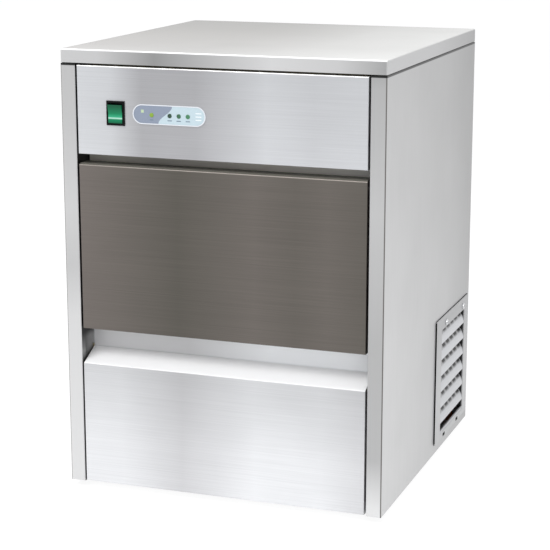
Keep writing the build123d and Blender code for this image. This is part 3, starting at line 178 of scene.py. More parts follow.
def stretched_noise(nodes, links, stretch, detail=2.0, scale=1.0, roughness=0.5):
    """Noise in the object's own metres, stretched by a scale for each axis."""
    where = nodes.new("ShaderNodeTexCoord")
    mapping = nodes.new("ShaderNodeMapping")
    mapping.inputs["Scale"].default_value = stretch
    noise = nodes.new("ShaderNodeTexNoise")
    noise.inputs["Scale"].default_value = scale
    noise.inputs["Detail"].default_value = detail
    noise.inputs["Roughness"].default_value = roughness
    links.new(where.outputs["Object"], mapping.inputs["Vector"])
    links.new(mapping.outputs["Vector"], noise.inputs["Vector"])
    return noise


def ramp(nodes, links, source, stops):
    """A colour ramp over a value, from (place, picture colour) stops."""
    node = nodes.new("ShaderNodeValToRGB")
    elements = node.color_ramp.elements
    while len(elements) > 1:
        elements.remove(elements[-1])
    for number, (place, colour) in enumerate(stops):
        element = elements[0] if number == 0 else elements.new(place)
        element.position = place
        element.color = linear(colour)
    links.new(source, node.inputs["Fac"])
    return node.outputs["Color"]


def mixed(nodes, links, first, second, amount, blend="MIX"):
    """Two colours mixed by a number or by another node's output."""
    node = nodes.new("ShaderNodeMix")
    node.data_type = "RGBA"
    node.blend_type = blend
    if isinstance(amount, float):
        node.inputs["Factor"].default_value = amount
    else:
        links.new(amount, node.inputs["Factor"])
    links.new(first, node.inputs["A"])
    links.new(second, node.inputs["B"])
    return node.outputs["Result"]


def axis_value(nodes, links, axis, low, high):
    """0 to 1 along one axis of the object, between two places in metres."""
    where = nodes.new("ShaderNodeTexCoord")
    split = nodes.new("ShaderNodeSeparateXYZ")
    span = nodes.new("ShaderNodeMapRange")
    span.inputs["From Min"].default_value = low
    span.inputs["From Max"].default_value = high
    links.new(where.outputs["Object"], split.inputs["Vector"])
    links.new(split.outputs[axis], span.inputs["Value"])
    return span.outputs["Result"]


def product(nodes, links, first, second):
    """Two values multiplied."""
    node = nodes.new("ShaderNodeMath")
    node.operation = "MULTIPLY"
    links.new(first, node.inputs[0])
    links.new(second, node.inputs[1])
    return node.outputs["Value"]


def brushed_steel(name, tones, brush, metallic=0.5, roughness=0.34, grain=0.16, cloudy=0.3):
    """Brushed sheet: slow tones along its axes, multiplied, which on the outer panels are painted light,
    shade and reflection, and a fine grain along the brush.
    """
    material, nodes, links, shader = new_material(name)
    colour = None
    for axis, low, high, stops in tones:
        tone = ramp(nodes, links, axis_value(nodes, links, axis, low, high), stops)
        colour = mixed(nodes, links, colour, tone, 1.0, "MULTIPLY") if colour else tone
    fine = stretched_noise(nodes, links, brush, detail=5.0, roughness=0.72)
    shade = ramp(nodes, links, fine.outputs["Fac"], [(0.32, grey(160)), (0.68, WHITE)])
    colour = mixed(nodes, links, colour, shade, grain, "MULTIPLY")
    cloud = stretched_noise(nodes, links, CLOUD_SCALE, detail=2.0)
    patch = ramp(nodes, links, cloud.outputs["Fac"], [(0.35, grey(236)), (0.65, WHITE)])
    colour = mixed(nodes, links, colour, patch, cloudy, "MULTIPLY")
    links.new(colour, shader.inputs["Base Color"])
    bump = nodes.new("ShaderNodeBump")
    bump.inputs["Strength"].default_value = 0.12
    bump.inputs["Distance"].default_value = 0.0002
    links.new(fine.outputs["Fac"], bump.inputs["Height"])
    links.new(bump.outputs["Normal"], shader.inputs["Normal"])
    shader.inputs["Metallic"].default_value = metallic
    shader.inputs["Roughness"].default_value = roughness
    return material


def lay_over(material, colour, amount):
    """Mixes a colour over the steel's own colour by a mask."""
    nodes, links = material.node_tree.nodes, material.node_tree.links
    shader = nodes["Principled BSDF"]
    below = shader.inputs["Base Color"].links[0].from_socket
    links.new(mixed(nodes, links, below, colour, amount), shader.inputs["Base Color"])


def region(material, limits):
    """A mask that is 1 where every axis lies past its limit, given as axis, start and full places."""
    nodes, links = material.node_tree.nodes, material.node_tree.links
    mask = None
    for axis, start, full in limits:
        value = axis_value(nodes, links, axis, start, full)
        mask = product(nodes, links, mask, value) if mask else value
    return mask


def tone_region(material, limits, axis, low, high, stops):
    """Lays a tone that changes along one axis over a region."""
    nodes, links = material.node_tree.nodes, material.node_tree.links
    tone = ramp(nodes, links, axis_value(nodes, links, axis, low, high), stops)
    lay_over(material, tone, region(material, limits))


def lower_panel_steel():
    """The lower front: painted reflection bands and painted light brighter towards its foot, a painted
    highlight on the slope of the grip, and painted light and shade along the strip behind the door.
    """
    tones = [("X", -PANEL_HALF, PANEL_HALF, banded(LOWER_LIGHT, LOWER_DARK, LOWER_REFLECTION_BANDS)),
             ("Z", 0.0, SLOPE_LOW, [(0.0, WHITE), (0.4, grey(248)), (0.7, grey(232)), (1.0, grey(218))])]
    material = brushed_steel("lower_steel", tones, BRUSH_ACROSS)
    slope = [("Z", SLOPE_LOW, SLOPE_LOW + 0.0003)]
    strip = [("Z", SLOPE_HIGH - 0.0003, SLOPE_HIGH)]
    # Painted highlight: the grip's slope is painted near white; the strip gets painted light and shade
    tone_region(material, slope, "X", -PANEL_HALF, PANEL_HALF, [(0.0, WHITE), (1.0, grey(253))])
    tone_region(material, strip, "X", -PANEL_HALF, PANEL_HALF,
                [(0.0, STRIP_LEFT), (0.35, STRIP_DARK), (0.65, STRIP_RIGHT)])
    nodes, links = material.node_tree.nodes, material.node_tree.links
    metal = ramp(nodes, links, region(material, slope), [(0.0, grey(137)), (1.0, BLACK)])
    links.new(metal, nodes["Principled BSDF"].inputs["Metallic"])
    return material


def side_panel_steel(name, outward, front_tone, middle_tone, back_tone, pillar):
    """A side wall and its folded front: painted light along both, painted shade along the bend and in the
    folds, and a painted shadow line under the lid.
    """
    # Painted light: lighter at the front and the foot, darker behind and towards the top
    tones = [("Y", CABINET_FRONT, -CABINET_FRONT, [(0.0, grey(front_tone)), (0.7, grey(middle_tone)),
                                                   (1.0, grey(back_tone))]),
             ("Z", 0.05, LID_TOP, [(0.0, WHITE), (1.0, grey(229))])]
    material = brushed_steel(name, tones, BRUSH_UPRIGHT, grain=0.06, metallic=0.35)
    # Painted light and shade down the folded front
    face = [("Y", CABINET_FRONT + 0.0009, CABINET_FRONT + 0.0003)]
    tone_region(material, face, "Z", 0.0, LID_TOP, pillar)
    # Painted shade: a dark line along the bend between the wall and its front
    bend_shade = [("X", outward * (CABINET_SIDE - 0.0017), outward * (CABINET_SIDE - 0.0008)),
            ("Y", CABINET_FRONT + 0.0017, CABINET_FRONT + 0.0008)]
    tone_region(material, bend_shade, "Z", 0.0, LID_TOP, [(0.0, (92, 89, 86))])
    # Painted shade in the fold behind the pillar, beside the grip
    fold_shade = [("X", outward * PILLAR_INNER, outward * (PILLAR_INNER - 0.0004)),
            ("Y", CABINET_FRONT + 0.0008, CABINET_FRONT + 0.0012)]
    tone_region(material, fold_shade, "Z", SLOPE_LOW, SLOPE_LOW + 0.05,
                [(0.0, grey(40)), (0.3, grey(150)), (0.8, grey(30))])
    # Painted shadow: a dark line under the lid's skirt
    line_low = LID_TOP - LID_SKIRT - LID_SHADOW_DROP
    lid_shadow_line = [("Z", line_low, line_low + 0.0006)]
    tone_region(material, lid_shadow_line, "Y", CABINET_FRONT, -CABINET_FRONT, [(0.0, grey(16)), (1.0, grey(10))])
    return material


def right_panel_steel():
    """The right wall, with painted shade where the grille's plate covers it, which shows only through the
    plate's slots.
    """
    # Painted light down the right pillar, with painted shadow under the lid at its top
    pillar = [(0.03, grey(225)), (0.14, grey(179)), (0.40, grey(174)), (0.68, grey(187)),
              (0.94, grey(172)), (1.0, grey(150))]
    material = side_panel_steel("right_steel", 1, 204, 184, 166, pillar)
    low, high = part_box("air_grille")
    # Painted shade behind the grille's plate
    behind = [("Y", low[1] + 0.0008, low[1] + 0.0012), ("Y", high[1] - 0.0008, high[1] - 0.0012),
              ("Z", low[2] + 0.0006, low[2] + 0.0009), ("Z", high[2] - 0.0008, high[2] - 0.0012)]
    tone_region(material, behind, "Z", low[2], high[2], [(0.0, grey(16))])
    return material


def lid_steel():
    """The lid: painted light, darker to the left and behind, with painted reflection bands on its front
    skirt, painted light along its right skirt and a painted highlight on its front edge.
    """
    tones = [("X", -CABINET_SIDE, CABINET_SIDE, [(0.0, (185, 183, 181)), (0.42, (183, 182, 180)),
                                                 (1.0, (212, 212, 210))]),
             ("Y", CABINET_FRONT, -CABINET_FRONT, [(0.0, WHITE), (0.25, grey(244)), (1.0, grey(242))])]
    material = brushed_steel("lid_steel", tones, BRUSH_LID, grain=0.07, metallic=0.1, roughness=0.5)
    # Painted shade over the left and rear of the top
    shade_far_left = [("X", 0.10, -0.08), ("Y", -0.18, 0.10)]
    tone_region(material, shade_far_left, "Y", CABINET_FRONT, -CABINET_FRONT,
                [(0.0, (168, 166, 163)), (1.0, (153, 152, 150))])
    below_top = ("Z", LID_TOP - 0.0004, LID_TOP - 0.0014)
    # Painted reflection bands on the front skirt
    front = [below_top, ("Y", CABINET_FRONT + 0.0016, CABINET_FRONT + 0.0004)]
    tone_region(material, front, "X", -CABINET_SIDE, CABINET_SIDE,
                [(0.0, grey(189)), (0.12, grey(186)), (0.30, grey(138)), (0.66, grey(200)),
                 (0.86, grey(190)), (1.0, grey(154))])
    # Painted light along the right skirt, darker towards the back
    right = [below_top, ("X", CABINET_SIDE - 0.0016, CABINET_SIDE - 0.0004)]
    tone_region(material, right, "Y", CABINET_FRONT, -CABINET_FRONT,
                [(0.0, grey(188)), (0.5, grey(184)), (1.0, grey(161))])
    # Painted highlight along the front top edge
    edge = [("Z", LID_TOP - 0.0020, LID_TOP - 0.0010), ("Y", CABINET_FRONT + 0.0022, CABINET_FRONT + 0.0012)]
    tone_region(material, edge, "X", -CABINET_SIDE, CABINET_SIDE, [(0.0, WHITE)])
    return material


def control_panel_steel():
    """The control panel: painted reflection bands, painted light darker towards its top, and a painted
    highlight on its upper edge.
    """
    tones = [("X", -PANEL_HALF, PANEL_HALF, banded(STEEL_LIGHT, STEEL_DARK, PANEL_REFLECTION_BANDS)),
             ("Z", 0.455, 0.570, [(0.0, WHITE), (1.0, grey(245))])]
    material = brushed_steel("front_steel", tones, BRUSH_ACROSS)
    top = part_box("control_panel")[1][2]
    # Painted highlight along the upper bend
    edge = [("Z", top - 0.0014, top - 0.0008)]
    tone_region(material, edge, "X", -PANEL_HALF, PANEL_HALF, [(0.0, WHITE)])
    return material


def door_steel():
    """The door: darker than the rest of the front, with painted reflection bands and a painted highlight
    along its upper edge.
    """
    tones = [("X", -PANEL_HALF, PANEL_HALF, banded(DOOR_LIGHT, DOOR_DARK, DOOR_REFLECTION_BANDS))]
    material = brushed_steel("door_steel", tones, BRUSH_ACROSS, metallic=0.35, grain=0.30)
    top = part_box("door_outer_panel")[1][2]
    # Painted highlight along the upper bend
    edge = [("Z", top - 0.0016, top - 0.0008)]
    tone_region(material, edge, "X", -PANEL_HALF, PANEL_HALF,
                [(0.0, (136, 130, 123)), (1.0, (150, 143, 136))])
    return material


def frame_plastic():
    """The frame round the bin's mouth: painted light in the gap over the door, and painted shade at the
    grip's ends.
    """
    material = plain("frame_plastic", (200, 202, 204), roughness=0.45)
    # Painted light in the gap over the door, paler than the frame and darker towards the left
    tone_region(material, [("Z", BAND_LOW, BAND_HIGH)], "X", -PANEL_HALF, PANEL_HALF,
                [(0.0, (236, 231, 219)), (0.25, (202, 198, 188)),
                 (0.65, (242, 236, 226)), (1.0, (255, 252, 244))])
    for outward in (-1, 1):
        across = ("X", outward * CHEEK_INNER, outward * CHEEK_OUTER)
        grip_back = CABINET_FRONT + GRIP_DEPTH
        # Painted shade at the ends of the grip's recess
        tone_region(material, [across, ("Z", 0.240, 0.236)], "Y", CABINET_FRONT + 0.010, grip_back,
                    [(0.0, grey(64)), (1.0, grey(168))])
        tone_region(material, [across, ("Z", 0.205, 0.214)], "Y", CABINET_FRONT, grip_back,
                    [(0.0, grey(8)), (1.0, grey(30))])
    return material


def blade_plastic():
    """The grille's slats: painted shade where they lie deep inside, as dark patches between pale upright
    stripes.
    """
    material = plain("blade_plastic", (206, 207, 209), roughness=0.45)
    nodes, links = material.node_tree.nodes, material.node_tree.links
    low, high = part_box("grille_blades")
    along = axis_value(nodes, links, "Y", low[1], high[1])
    count = nodes.new("ShaderNodeMath")
    count.operation = "MULTIPLY"
    count.inputs[1].default_value = SLAT_RIBS
    wave = nodes.new("ShaderNodeMath")
    wave.operation = "PINGPONG"
    wave.inputs[1].default_value = 0.5
    links.new(along, count.inputs[0])
    links.new(count.outputs["Value"], wave.inputs[0])
    # Painted shade of the gaps between slats, in dark patches split by pale stripes
    between = ramp(nodes, links, wave.outputs["Value"], [(0.10, grey(150)), (0.26, grey(10))])
    deep_shade = axis_value(nodes, links, "X", CABINET_SIDE - DEPTH_START, CABINET_SIDE - DEPTH_FULL)
    lay_over(material, between, deep_shade)
    return material


def grille_plate_plastic():
    """The grille's plate: a pale face with painted light, darker towards its top, and painted shade on the
    walls of its opening.
    """
    material = plain("plate_plastic", (180, 181, 182), roughness=0.45)
    nodes, links = material.node_tree.nodes, material.node_tree.links
    # Painted light, darker towards the top of the plate
    height = axis_value(nodes, links, "Z", 0.09, 0.19)
    rise = ramp(nodes, links, height, [(0.0, grey(190)), (1.0, grey(164))])
    lay_over(material, rise, 0.8)
    # Painted shade on the walls of the opening
    walls = [("X", CABINET_SIDE + 0.0009, CABINET_SIDE + 0.0002)]
    tone_region(material, walls, "Z", 0.0, 0.2, [(0.0, grey(24))])
    return material


def plain(name, colour, roughness=0.5, metallic=0.0, speckle=0.06, scale=900.0, coat=0.0, shine=0.5):
    """Plastic, rubber or painted metal with a slight unevenness."""
    material, nodes, links, shader = new_material(name)
    noise = stretched_noise(nodes, links, (1, 1, 1), detail=3.0, scale=scale)
    dark = tuple(value * (1 - speckle) for value in colour)
    tone = ramp(nodes, links, noise.outputs["Fac"], [(0.3, dark), (0.7, colour)])
    links.new(tone, shader.inputs["Base Color"])
    bump = nodes.new("ShaderNodeBump")
    bump.inputs["Strength"].default_value = 0.06
    bump.inputs["Distance"].default_value = 0.0002
    links.new(noise.outputs["Fac"], bump.inputs["Height"])
    links.new(bump.outputs["Normal"], shader.inputs["Normal"])
    shader.inputs["Roughness"].default_value = roughness
    shader.inputs["Metallic"].default_value = metallic
    shader.inputs["Coat Weight"].default_value = coat
    shader.inputs["Specular IOR Level"].default_value = shine
    return material


def lens(name, colour, glow_and_painted_light):
    """Translucent lamp plastic that glows a little."""
    material = plain(name, colour, roughness=0.25, speckle=0.03, coat=0.3)
    shader = material.node_tree.nodes["Principled BSDF"]
    shader.inputs["Emission Color"].default_value = linear(colour)
    shader.inputs["Emission Strength"].default_value = glow_and_painted_light
    return material


def rocker_plastic():
    """Green rocker with painted light: darker towards its ends, a painted highlight band across its lower
    half and painted reflection lighter round it.
    """
    material = plain("green_rocker", (10, 104, 66), roughness=0.3, speckle=0.1, scale=120.0)
    nodes, links = material.node_tree.nodes, material.node_tree.links
    shader = nodes["Principled BSDF"]
    low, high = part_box("switch_rocker")
    height = axis_value(nodes, links, "Z", low[2], high[2])
    # Painted light over the rocker's height: a painted highlight on its proud lower edge, painted reflection
    # lighter round it, darker towards both ends
    glow_and_painted_light = ramp(nodes, links, height, [(0.0, (2, 92, 60)), (0.20, (10, 132, 90)), (0.27, (196, 238, 222)),
                                       (0.32, (60, 172, 130)), (0.50, (14, 132, 88)), (0.9, (4, 88, 58))])
    lay_over(material, glow_and_painted_light, 0.92)
    shader.inputs["Specular IOR Level"].default_value = 0.25
    return material


def status_lens():
    """Three unlit green lamps, the left one the darkest."""
    material = lens("green_lens", (30, 88, 56), 0.02)
    low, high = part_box("status_lamps")
    lamp_faces = [("Y", high[1], low[1])]
    tone_region(material, lamp_faces, "X", low[0], high[0], [(0.0, (4, 44, 26)), (1.0, (62, 128, 88))])
    return material


def make_materials():
    """One material for each slot of the record, and those of the painted and banded pieces."""
    galvanised = [("X", -CABINET_SIDE, CABINET_SIDE, [(0, (182, 184, 186)), (1, (192, 194, 196))])]
    # Painted light down the left pillar, darker towards its top
    left_pillar = [(0.0, grey(220)), (0.40, grey(208)), (0.52, grey(189)), (0.65, grey(198)),
                   (0.85, grey(186)), (1.0, grey(181))]
    return {
        "galvanised_steel": brushed_steel("galvanised_steel", galvanised, BRUSH_NONE, grain=0.22,
                                          roughness=0.45, cloudy=0.6),
        "side_steel": right_panel_steel(),
        "left_steel": side_panel_steel("left_steel", -1, 228, 216, 205, left_pillar),
        "lid_steel": lid_steel(),
        "front_steel": control_panel_steel(),
        "lower_steel": lower_panel_steel(),
        "door_steel": door_steel(),
        "screw_steel": plain("screw_steel", (215, 216, 218), roughness=0.22, metallic=1.0),
        "dark_rail": plain("dark_rail", (116, 115, 108), roughness=0.5),
        "frame_plastic": frame_plastic(),
        "nylon": plain("nylon", (236, 236, 230), roughness=0.45),
        "liner_plastic": plain("liner_plastic", (238, 240, 242), roughness=0.25),
        "foam": plain("foam", (236, 222, 176), roughness=0.95, scale=400.0, speckle=0.14),
        "black_plastic": plain("black_plastic", (9, 9, 10), roughness=0.5, speckle=0.2, shine=0.12),
        "dark_plastic": plain("dark_plastic", (100, 98, 90), roughness=0.5),
        "gasket_rubber": plain("gasket_rubber", (172, 174, 176), roughness=0.6),
        "black_rubber": plain("black_rubber", (14, 14, 14), roughness=0.8, shine=0.2),
        "green_rocker": rocker_plastic(),
        "display_plastic": plain("display_plastic", (228, 232, 237), roughness=0.25, speckle=0.02),
        "lime_lens": lens("lime_lens", (126, 158, 44), 0.10),
        "green_lens": status_lens(),
        "circuit_board": plain("circuit_board", (24, 96, 48), roughness=0.4),
        "grille_plastic": grille_plate_plastic(),
        "blade_plastic": blade_plastic(),
        "sill_plastic": plain("sill_plastic", (188, 189, 191), roughness=0.45),
        "black_enamel": plain("black_enamel", (22, 22, 23), roughness=0.2, coat=0.5),
        "aluminium": plain("aluminium", (214, 216, 218), roughness=0.35, metallic=1.0),
        "copper": plain("copper", (204, 126, 92), roughness=0.3, metallic=1.0),
        "brass": plain("brass", (204, 172, 96), roughness=0.3, metallic=1.0),
        "white_plastic": plain("white_plastic", (232, 234, 236), roughness=0.4),
        "silicone": plain("silicone", (222, 226, 228), roughness=0.4),
        "tinned_copper": plain("tinned_copper", (196, 198, 200), roughness=0.28, metallic=1.0),
        "tray_plastic": plain("tray_plastic", (222, 232, 240), roughness=0.3),
    }


def dress_nodes(frame, materials):
    """Gives every CAD node its slot's material."""
    slots = {part["node"]: part["material_slot"] for part in frame["record"]["subparts"]}
    slots["lower_front_panel"] = "lower_steel"
    slots["side_panel_left"] = "left_steel"
    slots["grille_blades"] = "blade_plastic"
    for name, node in frame["nodes"].items():
        node.data.materials.clear()
        node.data.materials.append(materials[slots[name]])


def mesh_piece(name, points, faces, material, body):
    """A small mesh given in metres in the shared frame."""
    mesh = bpy.data.meshes.new(name)
    mesh.from_pydata(points, [], faces)
    mesh.update()
    piece = bpy.data.objects.new(name, mesh)
    bpy.context.collection.objects.link(piece)
    mesh.materials.append(material)
    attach(piece, body)
    return piece


def outline_piece(name, outline, y_front, y_back, material, body):
    """A thin solid plate in X and Z with the given outline, from its back face to its front face."""
    count = len(outline)
    points = [(x, y_front, z) for x, z in outline] + [(x, y_back, z) for x, z in outline]
    faces = [tuple(range(count)), tuple(reversed(range(count, 2 * count)))]
    for place in range(count):
        after = (place + 1) % count
        faces.append((place, place + count, after + count, after))
    return mesh_piece(name, points, faces, material, body)


def rectangle(left, right, low, high):
    """Corners of an upright rectangle, as pairs of X and Z."""
    return [(left, high), (left, low), (right, low), (right, high)]


def half_pill(centre_x, centre_z, half_length, radius, split, left):
    """The part of a pill shape on one side of a slanted S-shaped split."""
    turn = math.pi / 2 if left else -math.pi / 2
    middle = centre_x + (-1 if left else 1) * (half_length - radius)
    outline = []
    for step in range(ARC_STEPS + 1):
        angle = turn + math.pi * step / ARC_STEPS
        outline.append((middle + radius * math.cos(angle), centre_z + radius * math.sin(angle)))
    return outline + [(x, centre_z + z) for x, z in split]


def display_middle():
    """The display's printed face, and its centre across and in height."""
    low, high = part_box("display_plate")
    return low[1] + PRINT_RECESS, (low[0] + high[0]) / 2, (low[2] + high[2]) / 2


def lamp_places():
    """Where the power lamp and the three status lamps stand across the display."""
    status_low, status_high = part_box("status_lamps")
    power_low, power_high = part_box("power_lamp")
    radius = (power_high[0] - power_low[0]) / 2
    pitch = (status_high[0] - status_low[0] - 2 * radius) / 2
    status = [status_low[0] + radius + pitch * lamp for lamp in range(3)]
    return [(power_low[0] + power_high[0]) / 2] + status


def display_fields():
    """The two coloured fields, which meet along the split."""
    face, centre_x, centre_z = display_middle()
    low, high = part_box("display_plate")
    half_length = (high[0] - low[0]) / 2 - DISPLAY_MARGIN
    radius = (high[2] - low[2]) / 2 - DISPLAY_MARGIN
    split = []
    for step in range(SPLIT_STEPS + 1):
        along = step / SPLIT_STEPS
        swing = SPLIT_SWING * math.cos(math.pi * along)
        split.append((centre_x - SPLIT_SHIFT + swing, radius * (1 - 2 * along)))
    blue = plain("display_blue", (139, 149, 167), roughness=0.3, speckle=0.03)
    cyan = plain("display_cyan", (194, 213, 221), roughness=0.3, speckle=0.03)
    left_field = half_pill(centre_x, centre_z, half_length, radius, list(reversed(split)), True)
    right_field = half_pill(centre_x, centre_z, half_length, radius, split, False)
    for name, field, material in (("display_field_left", left_field, blue),
                                  ("display_field_right", right_field, cyan)):
        outline_piece(name, field, face - FIELD_THICK, face, material, "cabinet")


def display_marks():
    """Plain dashes under the lamps, a pale square and three pale lines, just proud of the fields."""
    face, _, centre_z = display_middle()
    places = lamp_places()
    marks = []
    dash = plain("display_dash", (112, 130, 148), roughness=0.4)
    top = centre_z - DASH_DROP
    for number, lamp_x in enumerate(places):
        half = DASH_HALF if number else POWER_DASH_HALF
        outline = rectangle(lamp_x - half, lamp_x + half, top - DASH_HEIGHT, top)
        marks.append((f"display_dash_{number}", outline, dash))
    pale = plain("display_pale", (190, 210, 172), roughness=0.4, speckle=0.03)
    left, low = places[0] - SQUARE_SHIFT, centre_z + SQUARE_RISE
    marks.append(("display_square", rectangle(left, left + SQUARE_SIDE, low, low + SQUARE_SIDE), pale))
    white = plain("display_white", (240, 246, 248), roughness=0.4, speckle=0.02)
    for number in range(3):
        z = centre_z + LINE_TOP - LINE_PITCH * number
        outline = rectangle(places[-1] + LINE_START, places[-1] + LINE_END, z - LINE_HEIGHT, z)
        marks.append((f"display_line_{number}", outline, white))
    for name, outline, material in marks:
        outline_piece(name, outline, face - MARK_FRONT, face - MARK_BACK, material, "cabinet")


def strip_piece(name, low, high, edge, material):
    """A strip on the right wall, given by its corners, with its outer edges rounded down."""
    points = []
    for x, inset in ((low[0], 0.0), (high[0] - edge, 0.0), (high[0], edge)):
        front, rear = low[1] + inset, high[1] - inset
        lower, upper = low[2] + inset, high[2] - inset
        points += [(x, front, lower), (x, rear, lower), (x, rear, upper), (x, front, upper)]
    faces = [(3, 2, 1, 0), (8, 9, 10, 11)]
    for row in (0, 4):
        for corner in range(4):
            after = (corner + 1) % 4
            faces.append((row + corner, row + after, row + 4 + after, row + 4 + corner))
    return mesh_piece(name, points, faces, material, "cabinet")


def grille_shadow_strips(materials):
    """Black strips of painted shadow round the grille's plate, where it stands off the wall: wide at its
    front edge and thin on top.
    """
    low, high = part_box("air_grille")
    black = materials["black_rubber"]
    reach, cover, height = SHADOW_STRIP_FRONT
    strip_piece("grille_shadow_front", (CABINET_SIDE, low[1] - reach, low[2] + 0.003),
                (CABINET_SIDE + height, low[1] + cover, high[2] - 0.0012), 0.0003, black)
    reach, cover, height = SHADOW_STRIP_TOP
    strip_piece("grille_shadow_top", (CABINET_SIDE, low[1] + 0.002, high[2] - cover),
                (CABINET_SIDE + height, high[1] - 0.002, high[2] + reach), 0.0002, black)


def grille_sill(materials):
    """A moulded lip along the foot of the grille's opening, under the last slat."""
    low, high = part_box("air_grille")
    slats_low, slats_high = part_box("grille_blades")
    foot = low[2] + SILL_RISE
    strip_piece("grille_sill", (CABINET_SIDE - 0.0004, slats_low[1] + 0.0001, foot),
                (high[0] - 0.0002, slats_high[1] - 0.0001, foot + SILL_HEIGHT), 0.0004,
                materials["sill_plastic"])


def slot_shade_pieces(materials):
    """Dark pieces of painted shade in the two fixing slots of the grille's plate."""
    low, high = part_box("air_grille")
    centre_z = low[2] + SLOT_RISE
    half_y, half_z = SLOT_SHADE_HALF
    for number, inward in enumerate(SLOT_PLACES):
        centre_y = low[1] + inward
        strip_piece(f"slot_shade_{number}", (high[0] - 0.0006, centre_y - half_y, centre_z - half_z),
                    (high[0] + 0.0003, centre_y + half_y, centre_z + half_z), 0.0003,
                    materials["black_rubber"])


def inlet_thread(frame, materials):
    """The thread of the water spout: low rings standing just proud of its plain cylinder."""
    mounts = {mount["name"]: mount for mount in frame["record"]["mounts"]}
    centre_x, _, centre_z = mounts["water_inlet_thread"]["pos_m"]
    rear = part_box("water_inlet_valve")[1][1]
    start = rear - THREAD_END - THREAD_PITCH * THREAD_TURNS
    points = []
    row_count = 2 * THREAD_TURNS + 1
    for row in range(row_count):
        y = start + THREAD_PITCH * row / 2
        radius = THREAD_CREST if row % 2 else THREAD_ROOT
        for step in range(THREAD_STEPS):
            angle = 2 * math.pi * step / THREAD_STEPS
            points.append((centre_x + radius * math.cos(angle), y, centre_z + radius * math.sin(angle)))
    faces = []
    for row in range(row_count - 1):
        here, there = row * THREAD_STEPS, (row + 1) * THREAD_STEPS
        for step in range(THREAD_STEPS):
            after = (step + 1) % THREAD_STEPS
            faces.append((here + step, there + step, there + after, here + after))
    last = (row_count - 1) * THREAD_STEPS
    faces.append(tuple(range(THREAD_STEPS)))
    faces.append(tuple(reversed(range(last, last + THREAD_STEPS))))
    mesh_piece("inlet_thread", points, faces, materials["white_plastic"], "cabinet")


def background_rays(nodes):
    """1 for the rays that show the background: camera, glossy and transmission rays."""
    ray = nodes.new("ShaderNodeLightPath")
    return ray.outputs["Is Camera Ray"], ray.outputs["Is Glossy Ray"], ray.outputs["Is Transmission Ray"]


def any_of(nodes, links, values):
    """The greatest of some values, so 1 where any of them is 1."""
    result = values[0]
    for value in values[1:]:
        node = nodes.new("ShaderNodeMath")
        node.operation = "MAXIMUM"
        links.new(result, node.inputs[0])
        links.new(value, node.inputs[1])
        result = node.outputs["Value"]
    return result


def world_light():
    """White background, and a slightly cooler and weaker light on the object."""
    world = bpy.data.worlds.new("studio")
    bpy.context.scene.world = world
    world.use_nodes = True
    nodes, links = world.node_tree.nodes, world.node_tree.links
    nodes.clear()
    output = nodes.new("ShaderNodeOutputWorld")
    seen = nodes.new("ShaderNodeBackground")
    seen.inputs["Color"].default_value = (1, 1, 1, 1)
    around = nodes.new("ShaderNodeBackground")
    around.inputs["Color"].default_value = WORLD_COLOUR
    around.inputs["Strength"].default_value = WORLD_STRENGTH
    switch = nodes.new("ShaderNodeMixShader")
    links.new(any_of(nodes, links, background_rays(nodes)), switch.inputs["Fac"])
    links.new(around.outputs["Background"], switch.inputs[1])
    links.new(seen.outputs["Background"], switch.inputs[2])
    links.new(switch.outputs["Shader"], output.inputs["Surface"])


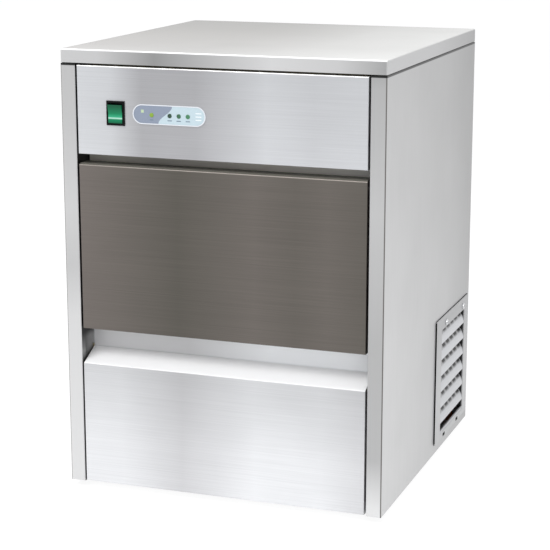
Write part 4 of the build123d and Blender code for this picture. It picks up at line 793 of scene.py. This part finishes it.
def floor_plane():
    """Pale floor that keeps a soft shadow, is white elsewhere and is clear from below."""
    bpy.ops.mesh.primitive_plane_add(size=FLOOR_SIZE, location=(0, 0, FLOOR_LEVEL))
    floor = bpy.context.object
    floor.name = "floor"
    material, nodes, links, shader = new_material("floor")
    shader.inputs["Base Color"].default_value = FLOOR_COLOUR
    shader.inputs["Roughness"].default_value = 0.9
    shader.inputs["Specular IOR Level"].default_value = 0.0
    white = nodes.new("ShaderNodeEmission")
    white.inputs["Color"].default_value = (1, 1, 1, 1)
    white.inputs["Strength"].default_value = FLOOR_WHITE
    share = nodes.new("ShaderNodeMapRange")
    share.inputs["To Min"].default_value = FLOOR_SHARE
    share.inputs["To Max"].default_value = FLOOR_SHARE_SEEN
    links.new(any_of(nodes, links, background_rays(nodes)), share.inputs["Value"])
    mix = nodes.new("ShaderNodeMixShader")
    links.new(share.outputs["Result"], mix.inputs["Fac"])
    links.new(shader.outputs["BSDF"], mix.inputs[1])
    links.new(white.outputs["Emission"], mix.inputs[2])
    clear = nodes.new("ShaderNodeBsdfTransparent")
    side = nodes.new("ShaderNodeNewGeometry")
    two_sided = nodes.new("ShaderNodeMixShader")
    links.new(side.outputs["Backfacing"], two_sided.inputs["Fac"])
    links.new(mix.outputs["Shader"], two_sided.inputs[1])
    links.new(clear.outputs["BSDF"], two_sided.inputs[2])
    links.new(two_sided.outputs["Shader"], nodes["Material Output"].inputs["Surface"])
    floor.data.materials.append(material)


def lamps():
    """Large soft lights: a high key from the left front, a fill from the right and one overhead."""
    for name, place, size, power in LAMPS:
        data = bpy.data.lights.new(name, "AREA")
        data.shape = "RECTANGLE"
        data.size, data.size_y = size
        data.energy = power
        lamp = bpy.data.objects.new(name, data)
        lamp.location = place
        aim = Vector(LAMPS_AIM) - Vector(place)
        lamp.rotation_euler = aim.to_track_quat("-Z", "Y").to_euler()
        bpy.context.collection.objects.link(lamp)


def camera():
    """A camera without shift, fitted to the photograph's viewing angle."""
    data = bpy.data.cameras.new("camera")
    data.sensor_width = SENSOR_MM
    data.lens = FOCAL_PIXELS * SENSOR_MM / PICTURE_PIXELS
    eye = bpy.data.objects.new("camera", data)
    ahead = Vector((
        -math.sin(CAMERA_YAW) * math.cos(CAMERA_PITCH),
        math.cos(CAMERA_YAW) * math.cos(CAMERA_PITCH),
        -math.sin(CAMERA_PITCH),
    ))
    eye.location = CAMERA_AT
    eye.rotation_euler = ahead.to_track_quat("-Z", "Y").to_euler()
    bpy.context.collection.objects.link(eye)
    bpy.context.scene.camera = eye
    bpy.context.scene.view_settings.view_transform = "Standard"


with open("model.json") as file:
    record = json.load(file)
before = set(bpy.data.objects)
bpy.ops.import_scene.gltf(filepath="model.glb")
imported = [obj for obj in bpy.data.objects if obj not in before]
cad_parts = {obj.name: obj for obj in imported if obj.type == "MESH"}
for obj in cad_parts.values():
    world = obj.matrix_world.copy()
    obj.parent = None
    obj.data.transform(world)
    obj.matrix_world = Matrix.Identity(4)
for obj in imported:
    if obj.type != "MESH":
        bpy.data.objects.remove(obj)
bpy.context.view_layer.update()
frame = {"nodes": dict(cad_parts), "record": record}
materials = make_materials()
dress_nodes(frame, materials)
display_fields()
display_marks()
grille_shadow_strips(materials)
grille_sill(materials)
slot_shade_pieces(materials)
inlet_thread(frame, materials)
world_light()
floor_plane()
lamps()
camera()
